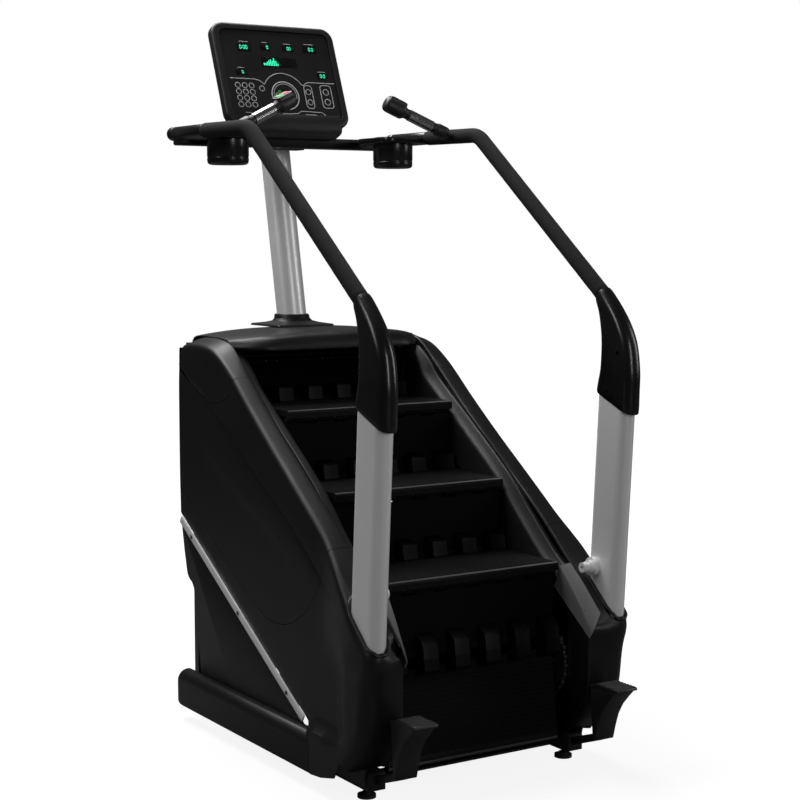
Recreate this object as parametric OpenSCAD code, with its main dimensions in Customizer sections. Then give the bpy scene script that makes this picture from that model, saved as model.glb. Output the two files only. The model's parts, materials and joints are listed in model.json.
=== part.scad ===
// Stair climber: a gym machine with eight hinged steps carried round two shafts by roller chains.
// Millimetres. +X is the user's right, the user climbs towards +Y, Z is up and the floor is z = 0.

/* [Steps] */
// Height from one step to the next
step_rise = 203.2; // [202:0.2:204]
// Depth of one step, nosing to nosing
step_run = 264; // [263:0.5:265]
// Width of a tread
tread_w = 562; // [556:1:564]
// Depth of a tread, front edge to rear hinge axis
tread_depth = 300; // [299:0.5:301]
// Radius of the round knuckles at the rear of a tread
knuckle_r = 52; // [46:1:54]
// Spacing of the knuckles along the hinge
knuckle_pitch = 100.8; // [100:0.1:101]
// Width of one knuckle
knuckle_w = 50; // [46:1:50]
// Thickness of a tread's plate
tread_t = 16; // [12:1:18]

/* [Chain drive] */
// Inner face of the step chains, from the middle
chain_x = 294; // [293.5:0.5:295]
// Radius of the drive shaft
drive_shaft_r = 17; // [15:1:20]
// Radius of the idler shaft
idler_shaft_r = 15; // [12:1:18]
// Radius of the driven pulley's rim
driven_pulley_r = 118; // [110:1:120]
// Radius of the brake's small pulley
brake_pulley_r = 29.5; // [26:0.5:34]

/* [Housing] */
// Outer face of the side panels, from the middle
panel_x = 395; // [394:1:397]
// Thickness of the moulded covers
cover_t = 4; // [3:0.5:5]
// Outer face of the base skirts, from the middle
skirt_x = 428; // [424:1:432]
// Height of the hood's crown
hood_top = 1190; // [1186:1:1195]

/* [Rails and console] */
// Middle of the uprights and hand rails, from the middle of the machine
rail_x = 388; // [386:1:390]
// Radius of the foam grips
foam_r = 22.5; // [20:0.5:24]
// Radius of the steel rail
rail_r = 16; // [14:0.5:17]
// Radius of the round mast
mast_r = 46; // [42:1:48]
// Width of the console
console_w = 434; // [420:1:440]
// Height of the console's face
console_h = 345; // [335:1:350]
// Tilt of the console away from the user, in degrees
console_tilt = 21.5; // [18:0.5:24]

/* [Hidden] */
$fn = 48;

// The parts are laid out from the bottom step; this puts the origin under the middle of the machine.
centre_y = 96;
run_fit = 0.05;
seam = 1;

pitch = norm([step_run, step_rise]);
down = [-step_run, -step_rise] / pitch;
outward = [-step_rise, step_run] / pitch;
links_per_step = 13;
link = pitch / links_per_step;
teeth = 26;
sprocket_r = link / (2 * sin(180 / teeth));
pin_r = 6;
nose_pin_r = 4;
open_pivot_r = 11;
roller_r = 7.9;
chain_w = 12;
wall_x = tread_w / 2 + 4;

// Hinge axes, as [y, z]: the first four ride on the front run of the chains, the rest on the return run.
first_hinge = [467, 973.4];
lower_hinge = first_hinge + 3 * pitch * down;
drive_centre = first_hinge - sprocket_r * outward;
idler_centre = lower_hinge - sprocket_r * outward;
return_hinge = lower_hinge - 2 * sprocket_r * outward;
function hinge(i) = i < 4 ? first_hinge + i * pitch * down : return_hinge - (i - 4) * pitch * down;

// The nose pivot as seen from a tread's rear hinge, and the lengths of the two links of a step.
nose_offset = [-(tread_depth - 21), -25];
tread_len = norm(nose_offset);
riser_len = norm(first_hinge + nose_offset - hinge(1));
function angle_of(v) = atan2(v[1], v[0]);
function nose(i) =
    let (a = hinge(i), b = hinge((i + 1) % 8), gap_v = b - a, span = norm(gap_v), along = gap_v / span,
         across = [along[1], -along[0]],
         x = (tread_len * tread_len - riser_len * riser_len + span * span) / (2 * span))
    a + x * along + sqrt(tread_len * tread_len - x * x) * across;
function tread_angle(i) = angle_of(nose(i) - hinge(i)) - angle_of(nose_offset);
function riser_angle(i) = angle_of(nose(i) - hinge((i + 1) % 8)) - 90;

// Outlines of the housing, as [y, z]
band_line = [[-358, 564], [-250, 644], [-187, 690], [66, 876], [318, 1059], [387, 1096], [445, 1117],
             [532, 1133]];
inner_line = [[-359, 541], [-291, 582], [-173, 675], [-61, 770], [151, 925], [348, 1055]];
strip_low = [-113, 167.08];
strip_high = [643, 609.66];
strip_dir = (strip_high - strip_low) / norm(strip_high - strip_low);
strip_up = [-strip_dir[1], strip_dir[0]];
seam_rear = [651, 700];
seam_mid = [157, 421];
seam_low = [-7, 400];
front_seam = [[-250, 640], [-196, 538], [-110, 440], seam_low, seam_mid, [593, 675], seam_rear];

// Uprights and rails, as [y, z]
upright_foot = [-437.6, 410];
upright_top = [-475.6, 1006];
upright_lean = atan2(upright_top[0] - upright_foot[0], upright_top[1] - upright_foot[1]);
upright_d = 126;
upright_w = 52;
sensor_centre = [-418, 560];
rail_start = [-413, 1313];
rail_bend = [189, 1773];
foam_end = [463, 1776];
rail_dir = (rail_bend - rail_start) / norm(rail_bend - rail_start);
rail_bend_r = 90;
sleeve_r = 20.5;
rail_end = [660, 1776];
mast_foot = [640, 1163];
mast_lean = 11.3;
mast_len = 614;
console_foot = [648, 1811];
grip_root = [343, 311, 1785];
grip_tilt = 65.7;
grip_turn = 168;
grip_len = 172;
pod_start = grip_len - 30;
contact_start = 41;
contact_len = pod_start - 19 - contact_start;
key_r = 7;
key_spacing = 22;

module placed() { translate([0, -centre_y, 0]) children(); }
module pair() {
    children();
    mirror([1, 0, 0]) children();
}
// Extrudes an outline drawn in [y, z] from x0 to x1.
module across(x0, x1) {
    translate([x0, 0, 0]) rotate([90, 0, 90]) linear_extrude(x1 - x0) children();
}
module at(p, x = 0) { translate([x, p[0], p[1]]) children(); }
module rod(p, x0, x1, r) { across(x0, x1) translate(p) circle(r); }
module rounded_box(w, h, r) {
    square([w - 2 * r, h], center = true);
    square([w, h - 2 * r], center = true);
    for (sx = [-1, 1], sy = [-1, 1]) translate([sx * (w / 2 - r), sy * (h / 2 - r)]) circle(r);
}
// A straight bar between two points of the [y, z] plane, as an outline.
module bar(a, b, w) {
    translate(a) rotate(angle_of(b - a)) translate([0, -w / 2]) square([norm(b - a), w]);
}
// A tube in the plane x = rail_x with one round bend. The ends of the straights lie inside the bend,
// so the caller draws two sections: one for the straights, and a slightly fuller one for the bend.
module bent_tube(start, bend, end, bend_r) {
    lap = 0.5;
    a0 = angle_of(bend - start);
    a1 = angle_of(end - bend);
    cut = bend_r * tan((a0 - a1) / 2);
    u0 = (bend - start) / norm(bend - start);
    u1 = (end - bend) / norm(end - bend);
    at(start, rail_x) rotate([a0 - 90, 0, 0]) linear_extrude(norm(bend - start) - cut + lap) children(0);
    at(bend - cut * u0 + bend_r * [u0[1], -u0[0]], rail_x) rotate([90, 0, 90]) rotate(a1 + 90)
        rotate_extrude(angle = a0 - a1) translate([bend_r, 0]) children(1);
    at(bend + (cut - lap) * u1, rail_x) rotate([a1 - 90, 0, 0])
        linear_extrude(norm(end - bend) - cut + lap) children(0);
}
module ring(outer, inner) {
    difference() {
        circle(outer);
        circle(inner);
    }
}

// ---- Steps ----
module tread_outline() {
    plate_front = -tread_depth + 8;
    difference() {
        union() {
            translate([plate_front, 3 - tread_t]) square([-24 - plate_front, tread_t]);
            translate([plate_front, -5]) circle(8);
            translate([-tread_depth, -21]) square([8, 16]);
        }
        for (y = [plate_front + 14:9:-72]) translate([y, 1.8]) square([2, 2]);
    }
}
module tread_solid(bore) {
    difference() {
        union() {
            across(-tread_w / 2, tread_w / 2) tread_outline();
            for (k = [-2.5:1:2.5]) {
                across(k * knuckle_pitch - knuckle_w / 2, k * knuckle_pitch + knuckle_w / 2) {
                    circle(knuckle_r);
                    translate([-60, 3 - tread_t]) square([60, tread_t]);
                }
            }
            for (k = [-2:2]) {
                across(k * knuckle_pitch - 15, k * knuckle_pitch + 15) {
                    translate(nose_offset) circle(10);
                    translate(nose_offset + [-6, 0]) square([12, 16]);
                }
            }
        }
        rod([0, 0], -tread_w, tread_w, bore);
        rod(nose_offset, -tread_w, tread_w, nose_pin_r + run_fit);
    }
}
module riser_solid(bore) {
    eye_r = bore + 8;
    difference() {
        union() {
            across(-tread_w / 2, tread_w / 2)
                translate([-4, knuckle_r + 4]) square([8, riser_len - knuckle_r - 18]);
            for (k = [-2:2]) {
                across(k * knuckle_pitch - 24, k * knuckle_pitch + 24) {
                    circle(eye_r);
                    translate([-4, 0]) square([8, knuckle_r + 8]);
                }
            }
            for (k = [-2.5:1:2.5]) {
                across(k * knuckle_pitch - 28, k * knuckle_pitch + 28) {
                    translate([0, riser_len]) circle(9.5);
                    translate([-4, riser_len - 20]) square([8, 20]);
                }
            }
        }
        rod([0, 0], -tread_w, tread_w, bore);
        rod([0, riser_len], -tread_w, tread_w, nose_pin_r + run_fit);
    }
}
module tread(i, bore = pin_r + run_fit) { at(hinge(i)) rotate([tread_angle(i), 0, 0]) tread_solid(bore); }
module riser(i, bore = pin_r + run_fit) {
    at(hinge((i + 1) % 8)) rotate([riser_angle(i), 0, 0]) riser_solid(bore);
}
module hinge_pin(i) { rod(hinge(i), -chain_x - chain_w - 4, chain_x + chain_w + 4, pin_r); }
module nose_pin(i) { rod(nose(i), -tread_w / 2 + 2, tread_w / 2 - 2, nose_pin_r); }

module front_treads() { color("dimgray") placed() for (i = [0:2]) tread(i); }
module front_risers() { color("#222222") placed() for (i = [0:2]) riser(i); }
module front_hinge_pins() {
    color("silver") placed() {
        for (i = [0:3]) hinge_pin(i);
        for (i = [0:2]) nose_pin(i);
    }
}
module lower_tread() { color("dimgray") placed() tread(3); }
module lower_nose_pin() { color("silver") placed() nose_pin(3); }
module lower_riser() { color("#222222") placed() riser(3, open_pivot_r); }
module return_treads() { color("dimgray") placed() for (i = [4:6]) tread(i); }
module return_risers() { color("#222222") placed() for (i = [4:6]) riser(i); }
module return_hinge_pins() {
    color("silver") placed() {
        for (i = [4:7]) hinge_pin(i);
        for (i = [4:6]) nose_pin(i);
    }
}
module upper_riser() { color("#222222") placed() riser(7); }
module upper_nose_pin() { color("silver") placed() nose_pin(7); }
module upper_tread() { color("dimgray") placed() tread(7, open_pivot_r); }

// ---- Chains, shafts and brake ----
// Two side plates and the rollers between them, through the points given as [y, z].
module chain_run(points, pins) {
    plate = 2.5;
    last = len(points) - 1;
    pair() difference() {
        union() {
            for (x = [chain_x, chain_x + chain_w - plate]) {
                across(x, x + plate) {
                    for (p = points) translate(p) circle(11.5);
                    for (i = [0:last - 1]) bar(points[i], points[i + 1], 17);
                }
            }
            for (p = points) rod(p, chain_x + plate / 2, chain_x + chain_w - plate / 2, roller_r);
        }
        for (p = pins) rod(p, chain_x - 1, chain_x + chain_w + 1, pin_r + run_fit);
    }
}
function straight(from, dir) = [for (i = [0:3 * links_per_step]) from + i * link * dir];
function wrap(centre, from) = [for (i = [1:links_per_step - 1])
    let (a = angle_of(from - centre) + i * 360 / teeth) centre + sprocket_r * [cos(a), sin(a)]];
module sprocket(centre, phase, shaft_r) {
    tip = 6;
    root = roller_r + 1;
    across(chain_x + 3, chain_x + chain_w - 3) translate(centre) rotate(phase) difference() {
        union() {
            circle(sprocket_r - root);
            for (i = [0:teeth - 1]) rotate((i + 0.5) * 360 / teeth) translate([sprocket_r, 0])
                polygon([[-root - 3, -7.2], [tip, -1.8], [tip, 1.8], [-root - 3, 7.2]]);
        }
        circle(shaft_r + run_fit);
        for (a = [30:60:330]) rotate(a) translate([sprocket_r * 0.58, 0]) circle(16);
    }
}
module front_chains() {
    color("slategray") placed() chain_run(straight(first_hinge, down), [for (i = [0:3]) hinge(i)]);
}
module return_chains() {
    color("slategray") placed() chain_run(straight(return_hinge, -down), [for (i = [4:7]) hinge(i)]);
}
module idler_chain_wraps() { color("slategray") placed() chain_run(wrap(idler_centre, lower_hinge), []); }
module drive_chain_wraps() { color("slategray") placed() chain_run(wrap(drive_centre, hinge(7)), []); }
module idler_shaft() { color("silver") placed() rod(idler_centre, -354, 354, idler_shaft_r); }
module drive_shaft() { color("silver") placed() rod(drive_centre, -354, 386, drive_shaft_r); }
module idler_sprockets() {
    color("gray") placed() pair()
        sprocket(idler_centre, angle_of(lower_hinge - idler_centre), idler_shaft_r);
}
module drive_sprockets() {
    color("gray") placed() pair()
        sprocket(drive_centre, angle_of(first_hinge - drive_centre), drive_shaft_r);
}
brake_centre = [470, 205];
belt_x = 364;
belt_w = 16;
belt_t = 4;
module driven_pulley() {
    color("gray") placed() across(belt_x - 1, belt_x + belt_w + 1) translate(drive_centre) difference() {
        circle(driven_pulley_r);
        circle(drive_shaft_r + run_fit);
        for (a = [0:72:288]) rotate(a) translate([driven_pulley_r * 0.6, 0]) circle(24);
    }
}
// The belt's path round both pulleys, grown outwards.
module belt_outline(grow) {
    hull() {
        translate(drive_centre) circle(driven_pulley_r + grow, $fn = 180);
        translate(brake_centre) circle(brake_pulley_r + grow, $fn = 180);
    }
}
module drive_belt() {
    color("#1a1a1a") placed() across(belt_x, belt_x + belt_w) difference() {
        belt_outline(belt_t);
        belt_outline(0.1);
    }
}
module brake_housing() {
    color("dimgray") placed() difference() {
        union() {
            rod(brake_centre, 150, 270, 82);
            rod(brake_centre, 270, 296, 34);
            across(165, 255) translate([brake_centre[0] - 60, 80]) square([120, 60]);
        }
        rod(brake_centre, 162, 258, 70);
        rod(brake_centre, 250, 300, 12 + run_fit);
    }
}
module brake_rotor() {
    color("silver") placed() {
        rod(brake_centre, 170, 250, 66);
        rod(brake_centre, 240, 384, 12);
        rod(brake_centre, belt_x - 1, belt_x + belt_w + 1, brake_pulley_r);
    }
}
module bearing(centre, shaft_r) {
    difference() {
        across(316, 348) {
            translate(centre) circle(28);
            translate(centre - [28, 30]) square([56, 30]);
            translate(centre - [44, 30]) square([88, 12]);
        }
        rod(centre, 300, 400, shaft_r + run_fit);
    }
}
module shaft_bearings() {
    color("gray") placed() pair() {
        bearing(idler_centre, idler_shaft_r);
        bearing(drive_centre, drive_shaft_r);
    }
}

// ---- Frame ----
rail_front = -381;
rail_rear = 640;
foot_x = 327;
foot_ys = [-331, 590];
wheel_centre = [678, 41];
wheel_r = 37;
cross_top = 1132;
module base_rail() {
    difference() {
        translate([302, rail_front, 30]) cube([50, rail_rear - rail_front, 50]);
        translate([305, rail_front - 1, 33]) cube([44, rail_rear - rail_front + 2, 44]);
        for (y = foot_ys) translate([foot_x, y, 20]) cylinder(h = 20, r = 6.2);
        translate([290, rail_front + 22, 55]) rotate([0, 90, 0]) cylinder(h = 80, r = 5);
    }
}
module side_frame() {
    base_rail();
    across(314, 350) {
        translate([idler_centre[0] - 25, 80]) square([50, idler_centre[1] - 110]);
        translate([drive_centre[0] - 25, 80]) square([50, drive_centre[1] - 110]);
        bar(idler_centre - [0, 92], drive_centre - [0, 92], 40);
        translate([135, 505]) square([30, 100]);
        translate([625, 80]) square([26, cross_top - 80]);
    }
    across(354, 360) polygon([[-370, 60], [-250, 60], [-400, 420], [-405, 485], [-440, 462], [-440, 300]]);
    across(350, 356) polygon([[-370, 40], [-250, 40], [-270, 78], [-370, 78]]);
    for (x = [302, 347]) across(x, x + 5) translate([rail_rear, 34])
        square([wheel_centre[0] - rail_rear + 8, 26]);
    rod(wheel_centre, 304, 350, 6);
}
module base_frame() {
    color("#303030") placed() {
        pair() side_frame();
        translate([-303, 440, 30]) cube([606, 60, 50]);
        translate([-303, 600, 30]) cube([606, 40, 50]);
        translate([-303, -300, 30]) cube([606, 60, 6]);
        translate([-316, 135, 575]) cube([632, 30, 30]);
        translate([-350, 560, cross_top]) cube([700, 128, 14]);
    }
}
module levelling_feet() {
    color("#202020") placed() for (sx = [-1, 1], y = foot_ys) translate([sx * foot_x, y, 0]) {
        cylinder(h = 9, r = 25);
        cylinder(h = 16, r = 12);
        cylinder(h = 62, r = 6);
    }
}
module transport_wheel() {
    difference() {
        union() {
            rod(wheel_centre, 313, 341, wheel_r - 2);
            rod(wheel_centre, 316, 338, wheel_r);
        }
        rod(wheel_centre, 300, 350, 6 + run_fit);
        for (x = [312, 335]) across(x, x + 7) translate(wheel_centre) difference() {
            circle(wheel_r - 9);
            circle(13);
        }
    }
}
module right_transport_wheel() { color("#1a1a1a") placed() transport_wheel(); }
module left_transport_wheel() { color("#1a1a1a") placed() mirror([1, 0, 0]) transport_wheel(); }

// ---- Housing ----
front_face = [[-500, 430], [-509, 413], [-504, 382], [-489, 330], [-471, 240], [-445, 190], [-410, 128],
              [-380, 92]];
module side_outline() {
    polygon(concat(band_line, [[642, 1150], [651, 929], [648, 600], [150, 150], [-358, 100]]));
}
module front_region() { polygon(concat([[-700, 600], [-358, 720]], front_seam, [[700, 0], [-700, 0]])); }
module above_strip() {
    polygon([strip_low - 300 * strip_dir + 14 * strip_up, strip_high + 100 * strip_dir + 14 * strip_up,
             [700, 1300], [-700, 1300], [-700, 100]]);
}
module hood_side_outline() {
    polygon([[200, 975], [318, 1059], [387, 1096], [445, 1117], [500, 1136], [560, 1300], [642, 1300],
             [651, 929], [640, 800], [200, 800]]);
}
module hood_region() {
    polygon([[306, 1120], [306, 1056], [290, 1068], [268, 1056], [300, 1030], [360, 1002], [410, 986],
             [470, 990], [638, 1061], [700, 1061], [700, 1300], [306, 1300]]);
}
// A side panel: the outer plate and the sloping band along its top.
module side_shell() {
    difference() {
        across(325, panel_x) side_outline();
        for (shift = [0, 20]) across(320, panel_x - cover_t) translate([shift, -cover_t - 1])
            side_outline();
        across(320, panel_x + 1) polygon([[700, 0], [100, 0], [648, 596], [700, 596]]);
        across(320, panel_x - cover_t) polygon([[-700, 0], [700, 0], [700, 500], [-300, 500], [-700, 300]]);
    }
}
module upper_side_panels() {
    color("#262626") placed() pair() intersection() {
        side_shell();
        across(300, 430) difference() {
            polygon([[-400, 400], [-400, 1300], [700, 1300], [700, 400]]);
            translate([0, seam]) front_region();
            for (shift = [[-seam, 0], [0, -seam]]) translate(shift) hood_region();
        }
    }
}
module pillar_outline() {
    polygon(concat([[-300, 606.5], [-358, 563], [-440, 478]], front_face,
                   [[-367, 80], [-200, 42], [-200, 160], [-240, 160], [-240, 606.5]]));
}
module upright_core(grow) {
    at(upright_foot, rail_x) rotate([-upright_lean, 0, 0]) translate([0, 0, -5]) linear_extrude(742)
        rounded_box(upright_w + 2 * grow, upright_d + 2 * grow, upright_w / 2 + grow - 0.01);
}
module front_side_panels() {
    color("#262626") placed() pair() {
        difference() {
            union() {
                intersection() {
                    side_shell();
                    across(300, 430) intersection() {
                        front_region();
                        above_strip();
                    }
                    translate([0, -305, 0]) cube([500, 1100, 1300]);
                }
                difference() {
                    across(326, 425) pillar_outline();
                    for (shift = [[5, -5], [20, -5], [60, -30]]) across(330, 421) translate(shift)
                        pillar_outline();
                    translate([396, -330, 160]) cube([60, 100, 540]);
                    translate([320, -400, 0]) cube([42, 200, 480]);
                }
                across(300, 326) polygon(concat([[-462, 378], [-490, 378]],
                    [for (i = [3:7]) front_face[i] + [6, 0]],
                    [[-367, 90], [-355, 90], [-430, 250], [-440, 378]]));
            }
            upright_core(1);
            across(340, 440) polygon([[-300, 0], [-300, 160], [-150, 160], [700, 620], [700, 0]]);
        }
    }
}
module lower_side_panels() {
    color("#232323") placed() pair() across(panel_x - cover_t - 3, panel_x - 3)
        polygon([strip_low - 14 * strip_up, [646, 594], [610, 441], [572, 423], [522, 161],
                 [516, 100], [-180, 100], [-200, 116]]);
}
module side_strips() {
    color("silver") placed() pair() difference() {
        across(panel_x - 2, panel_x + 2) bar(strip_low, strip_high, 25);
        for (t = [0.12, 0.5, 0.9]) rod(strip_low + t * (strip_high - strip_low), 380, 400, 2.6);
    }
}
module cover_screws() {
    color("#202020") placed() pair() {
        for (t = [0.12, 0.5, 0.9]) {
            rod(strip_low + t * (strip_high - strip_low), panel_x - 8, panel_x + 2.5, 2.5);
            rod(strip_low + t * (strip_high - strip_low), panel_x + 2.1, panel_x + 4, 6);
        }
    }
}
module base_skirts() {
    color("#262626") placed() pair() translate([0, 617, 0]) rotate([90, 0, 0])
        linear_extrude(815) difference() {
        translate([(skirt_x + 392) / 2, 97]) rounded_box(skirt_x - 392, 114, 14);
        translate([(skirt_x + 392) / 2, 93]) rounded_box(skirt_x - 392 - 2 * cover_t, 114, 10);
    }
}
module inner_walls() {
    color("#1c1c1c") placed() pair() {
        across(wall_x, wall_x + cover_t) polygon(concat(
            inner_line, [for (i = [5:-1:0]) inner_line[i] + [75, -95]]));
        across(wall_x, 324.5) difference() {
            polygon(concat(inner_line, [[360, 900], [-300, 500]]));
            translate([0, -cover_t]) polygon(concat(inner_line, [[380, 1050], [360, 700], [-400, 400]]));
        }
    }
}
entry_line = [[-361, 541], [-400, 528], [-440, 490], [-480, 430], [-498, 388], [-480, 384]];
module entry_trims() {
    color("gray") placed() pair() difference() {
        across(wall_x, 325.4) polygon(concat(entry_line, [[-469, 398], [-361, 420]]));
        across(wall_x + cover_t, 330) translate([cover_t, -cover_t]) polygon(concat(
            entry_line, [[-440, 384], [-300, 384], [-300, 541]]));
    }
}
module hood_crown(top) {
    crown_r = 1756;
    translate([0, 760, top - crown_r]) rotate([90, 0, 0]) cylinder(h = 460, r = crown_r, $fn = 180);
}
module hood_side() {
    intersection() {
        hood_crown(hood_top);
        difference() {
            across(324, panel_x) intersection() {
                hood_side_outline();
                hood_region();
            }
            intersection() {
                hood_crown(hood_top - cover_t);
                for (shift = [0, 20]) across(320, panel_x - cover_t)
                    translate([shift, -cover_t - 1]) hood_side_outline();
            }
        }
    }
}
module hood() {
    color("#2b2b2b") placed() {
        difference() {
            intersection() {
                hood_crown(hood_top);
                across(-325, 325) polygon([[352, 1133], [345, 1150], [362, 1178], [420, 1300], [698, 1300],
                                           [698, 1138], [450, 1138], [450, 1133]]);
            }
            intersection() {
                hood_crown(hood_top - cover_t);
                across(-400, 400)
                    polygon([[358, 1130], [352, 1152], [368, 1176], [426, 1300], [694, 1300], [694, 1130]]);
            }
            at(mast_foot) rotate([-mast_lean, 0, 0]) cylinder(h = 80, r = mast_r + 1);
        }
        pair() hood_side();
    }
}
module rear_plan(inset) {
    polygon([[-panel_x + inset, 652], [-300 + inset, 806 - inset], [300 - inset, 806 - inset],
             [panel_x - inset, 652], [panel_x - inset, 652 - 3 * inset],
             [-panel_x + inset, 652 - 3 * inset]]);
}
module rear_profile(inset) {
    polygon([[640, 1136 - inset], [700, 1133 - inset], [775 - inset, 1085 - inset], [806 - inset, 1010],
             [806 - inset, 700], [745 - inset, 560 + inset], [662 - inset, 460 + inset],
             [640, 440 + inset]]);
}
module rear_cover() {
    color("#262626") placed() difference() {
        union() {
            intersection() {
                linear_extrude(1300) rear_plan(0);
                across(-panel_x, panel_x) rear_profile(0);
            }
            translate([-300, 656, 95]) cube([600, 4, 370]);
        }
        intersection() {
            translate([0, 0, -10]) linear_extrude(1400) rear_plan(cover_t);
            across(-panel_x, panel_x) difference() {
                rear_profile(cover_t);
                translate([600, 300]) square([60.1, 159]);
            }
        }
        translate([-354, 630, 1120]) cube([708, 61, 40]);
    }
}

// ---- Uprights, rails and mast ----
// Everything below the slanted joint between upright and elbow.
module below_joint() {
    across(300, 480) polygon([[-613, 964.3], [-345, 1074.7], [0, 200], [-700, 200]]);
}
module uprights() {
    color("silver") placed() pair() intersection() {
        difference() {
            at(upright_foot, rail_x) rotate([-upright_lean, 0, 0]) linear_extrude(702)
                rounded_box(upright_w, upright_d, upright_w / 2 - 0.01);
            at(upright_foot, rail_x) rotate([-upright_lean, 0, 0]) translate([0, 0, -5]) linear_extrude(742)
                rounded_box(upright_w - 6, upright_d - 6, upright_w / 2 - 3.01);
            rod(sensor_centre, 340, 380, 8.5);
        }
        below_joint();
    }
}
// One thin slice of the elbow: a rounded section, its middle, its tilt and its size.
module slice(p, tilt, w, d) {
    at(p, rail_x) rotate([tilt, 0, 0]) linear_extrude(1) rounded_box(w, d, min(w, d) / 2 - 0.01, $fn = 32);
}
module elbow_covers() {
    color("#101010") placed() pair() {
        hull() {
            at([-479, 1021], rail_x) rotate([22.4, 0, 0]) linear_extrude(1) scale([1, 1.2])
                rounded_box(upright_w + 4, upright_d + 4, upright_w / 2, $fn = 32);
            slice([-488, 1110], 0, 58, 134);
        }
        hull() {
            slice([-488, 1110], 0, 58, 134);
            slice([-484, 1170], -10, 56, 124);
        }
        hull() {
            slice([-484, 1170], -10, 56, 124);
            slice([-455, 1250], -34, 53, 84);
        }
        hull() {
            slice([-455, 1250], -34, 53, 84);
            slice(rail_start, angle_of(rail_dir) - 90, 49, 52);
        }
    }
}
module handrail_frame() {
    color("#151515") placed() difference() {
        union() {
            pair() {
                bent_tube(rail_start + 3 * rail_dir, rail_bend, foam_end + [2, 0], rail_bend_r) {
                    circle(rail_r);
                    circle(rail_r + 0.2);
                }
                at(foam_end + [1, 0], rail_x) rotate([-90, 0, 0])
                    cylinder(h = rail_end[0] + 25 - foam_end[0], r = sleeve_r);
            }
            translate([-rail_x, 634, 1742]) cube([2 * rail_x, 52, 34]);
            translate([-70, 680, 1738]) cube([140, 60, 40]);
        }
        at(mast_foot) rotate([-mast_lean, 0, 0]) cylinder(h = 800, r = mast_r + 0.3);
    }
}
module foam_grips() {
    color("#2e2e2e") placed() pair()
        bent_tube(rail_start + 2 * rail_dir, rail_bend, foam_end, rail_bend_r) {
            ring(foam_r, rail_r + 0.6);
            ring(foam_r + 0.2, rail_r + 0.4);
        }
}
module mast() {
    color("silver") placed() difference() {
        at(mast_foot) rotate([-mast_lean, 0, 0]) translate([0, 0, -20])
            cylinder(h = mast_len + 20, r = mast_r);
        at(mast_foot) rotate([-mast_lean, 0, 0]) translate([0, 0, -30])
            cylinder(h = mast_len + 24, r = mast_r - 3);
        translate([-100, 500, 1100]) cube([200, 300, cross_top + 14 - 1100]);
    }
}
module mast_collar() {
    color("#1a1a1a") placed() difference() {
        union() {
            translate([-100, 555, hood_top + 0.3]) cube([200, 190, 6]);
            at(mast_foot) rotate([-mast_lean, 0, 0]) translate([0, 0, 38]) cylinder(h = 14, r = mast_r + 8);
        }
        at(mast_foot) rotate([-mast_lean, 0, 0]) cylinder(h = 90, r = mast_r + 0.4);
        translate([-200, 400, hood_top - 100.2]) cube([400, 500, 100.5]);
    }
}

// ---- Cup holders and heart-rate grips ----
cup_centre = [289, 513];
module cup_holders() {
    color("#141414") placed() pair() difference() {
        union() {
            translate([289, 526, 1757]) linear_extrude(18) rounded_box(148, 196, 30);
            translate([cup_centre[0], cup_centre[1], 1681]) cylinder(h = 80, r = 62);
            translate([260, 610, 1757]) cube([60, 23.5, 18]);
        }
        translate([cup_centre[0], cup_centre[1], 1685]) cylinder(h = 120, r = 52);
        translate([289, 600, 1763]) linear_extrude(20) rounded_box(120, 30, 12);
    }
}
module on_grip() { translate(grip_root) rotate([0, grip_tilt, grip_turn]) children(); }
module grip_key_place(k) {
    translate([-24, 0, grip_len + k * key_spacing / 2]) rotate([0, -90, 0]) children();
}
module heart_rate_grips() {
    color("#1a1a1a") placed() pair() on_grip() difference() {
        union() {
            translate([0, 0, -14]) cylinder(h = 40, r = 20);
            cylinder(h = pod_start, r = 16);
            translate([0, 0, pod_start]) cylinder(h = 62, r = 24);
            translate([0, 0, grip_len + 32]) cylinder(h = 5, r = 19);
        }
        translate([0, 0, contact_start - 1]) difference() {
            cylinder(h = contact_len + 2, r = 30);
            cylinder(h = contact_len + 2, r = 13.9);
        }
        for (k = [-1, 1]) grip_key_place(k) translate([0, 0, -6]) cylinder(h = 20, r = key_r + 0.25);
    }
}
module heart_rate_contacts() {
    color("gainsboro") placed() pair() on_grip() translate([0, 0, contact_start])
        for (side = [0, 1]) mirror([side, 0, 0]) difference() {
            cylinder(h = contact_len, r = 17.5);
            translate([0, 0, -1]) cylinder(h = contact_len + 2, r = 14);
            translate([-0.8, -30, -1]) cube([60, 60, contact_len + 2]);
        }
}
module grip_key(k) {
    placed() on_grip() grip_key_place(k) translate([0, 0, -3.5]) cylinder(h = 5.5, r = key_r);
}
module right_green_key() { color("limegreen") grip_key(-1); }
module right_red_key() { color("red") grip_key(1); }
module left_green_key() { color("limegreen") mirror([1, 0, 0]) grip_key(-1); }
module left_red_key() { color("red") mirror([1, 0, 0]) grip_key(1); }

// ---- Console ----
// The console's own frame: x across, y behind its face, z up its face.
module on_console() { at(console_foot) rotate([-console_tilt, 0, 0]) children(); }
module console_slab(w, h, r, t) {
    translate([0, t, console_h / 2]) rotate([90, 0, 0]) linear_extrude(t) rounded_box(w, h, r);
}
module console_shell() {
    color("#1c1c1c") placed() {
        difference() {
            on_console() {
                translate([0, 10, 0]) console_slab(console_w, console_h, 42, 23.5);
                translate([0, 33, 0]) console_slab(console_w - 90, console_h - 90, 42, 17);
            }
            on_console() {
                translate([0, 9, 0]) console_slab(console_w - 8, console_h - 8, 38, 20.5);
                translate([0, 29, 0]) console_slab(console_w - 100, console_h - 100, 37, 17);
            }
        }
        on_console() translate([-34, 48, 10]) cube([68, 56, 46]);
        at(mast_foot) rotate([-mast_lean, 0, 0]) translate([0, 0, mast_len + 0.3]) cylinder(h = 52, r = 30);
    }
}
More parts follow.
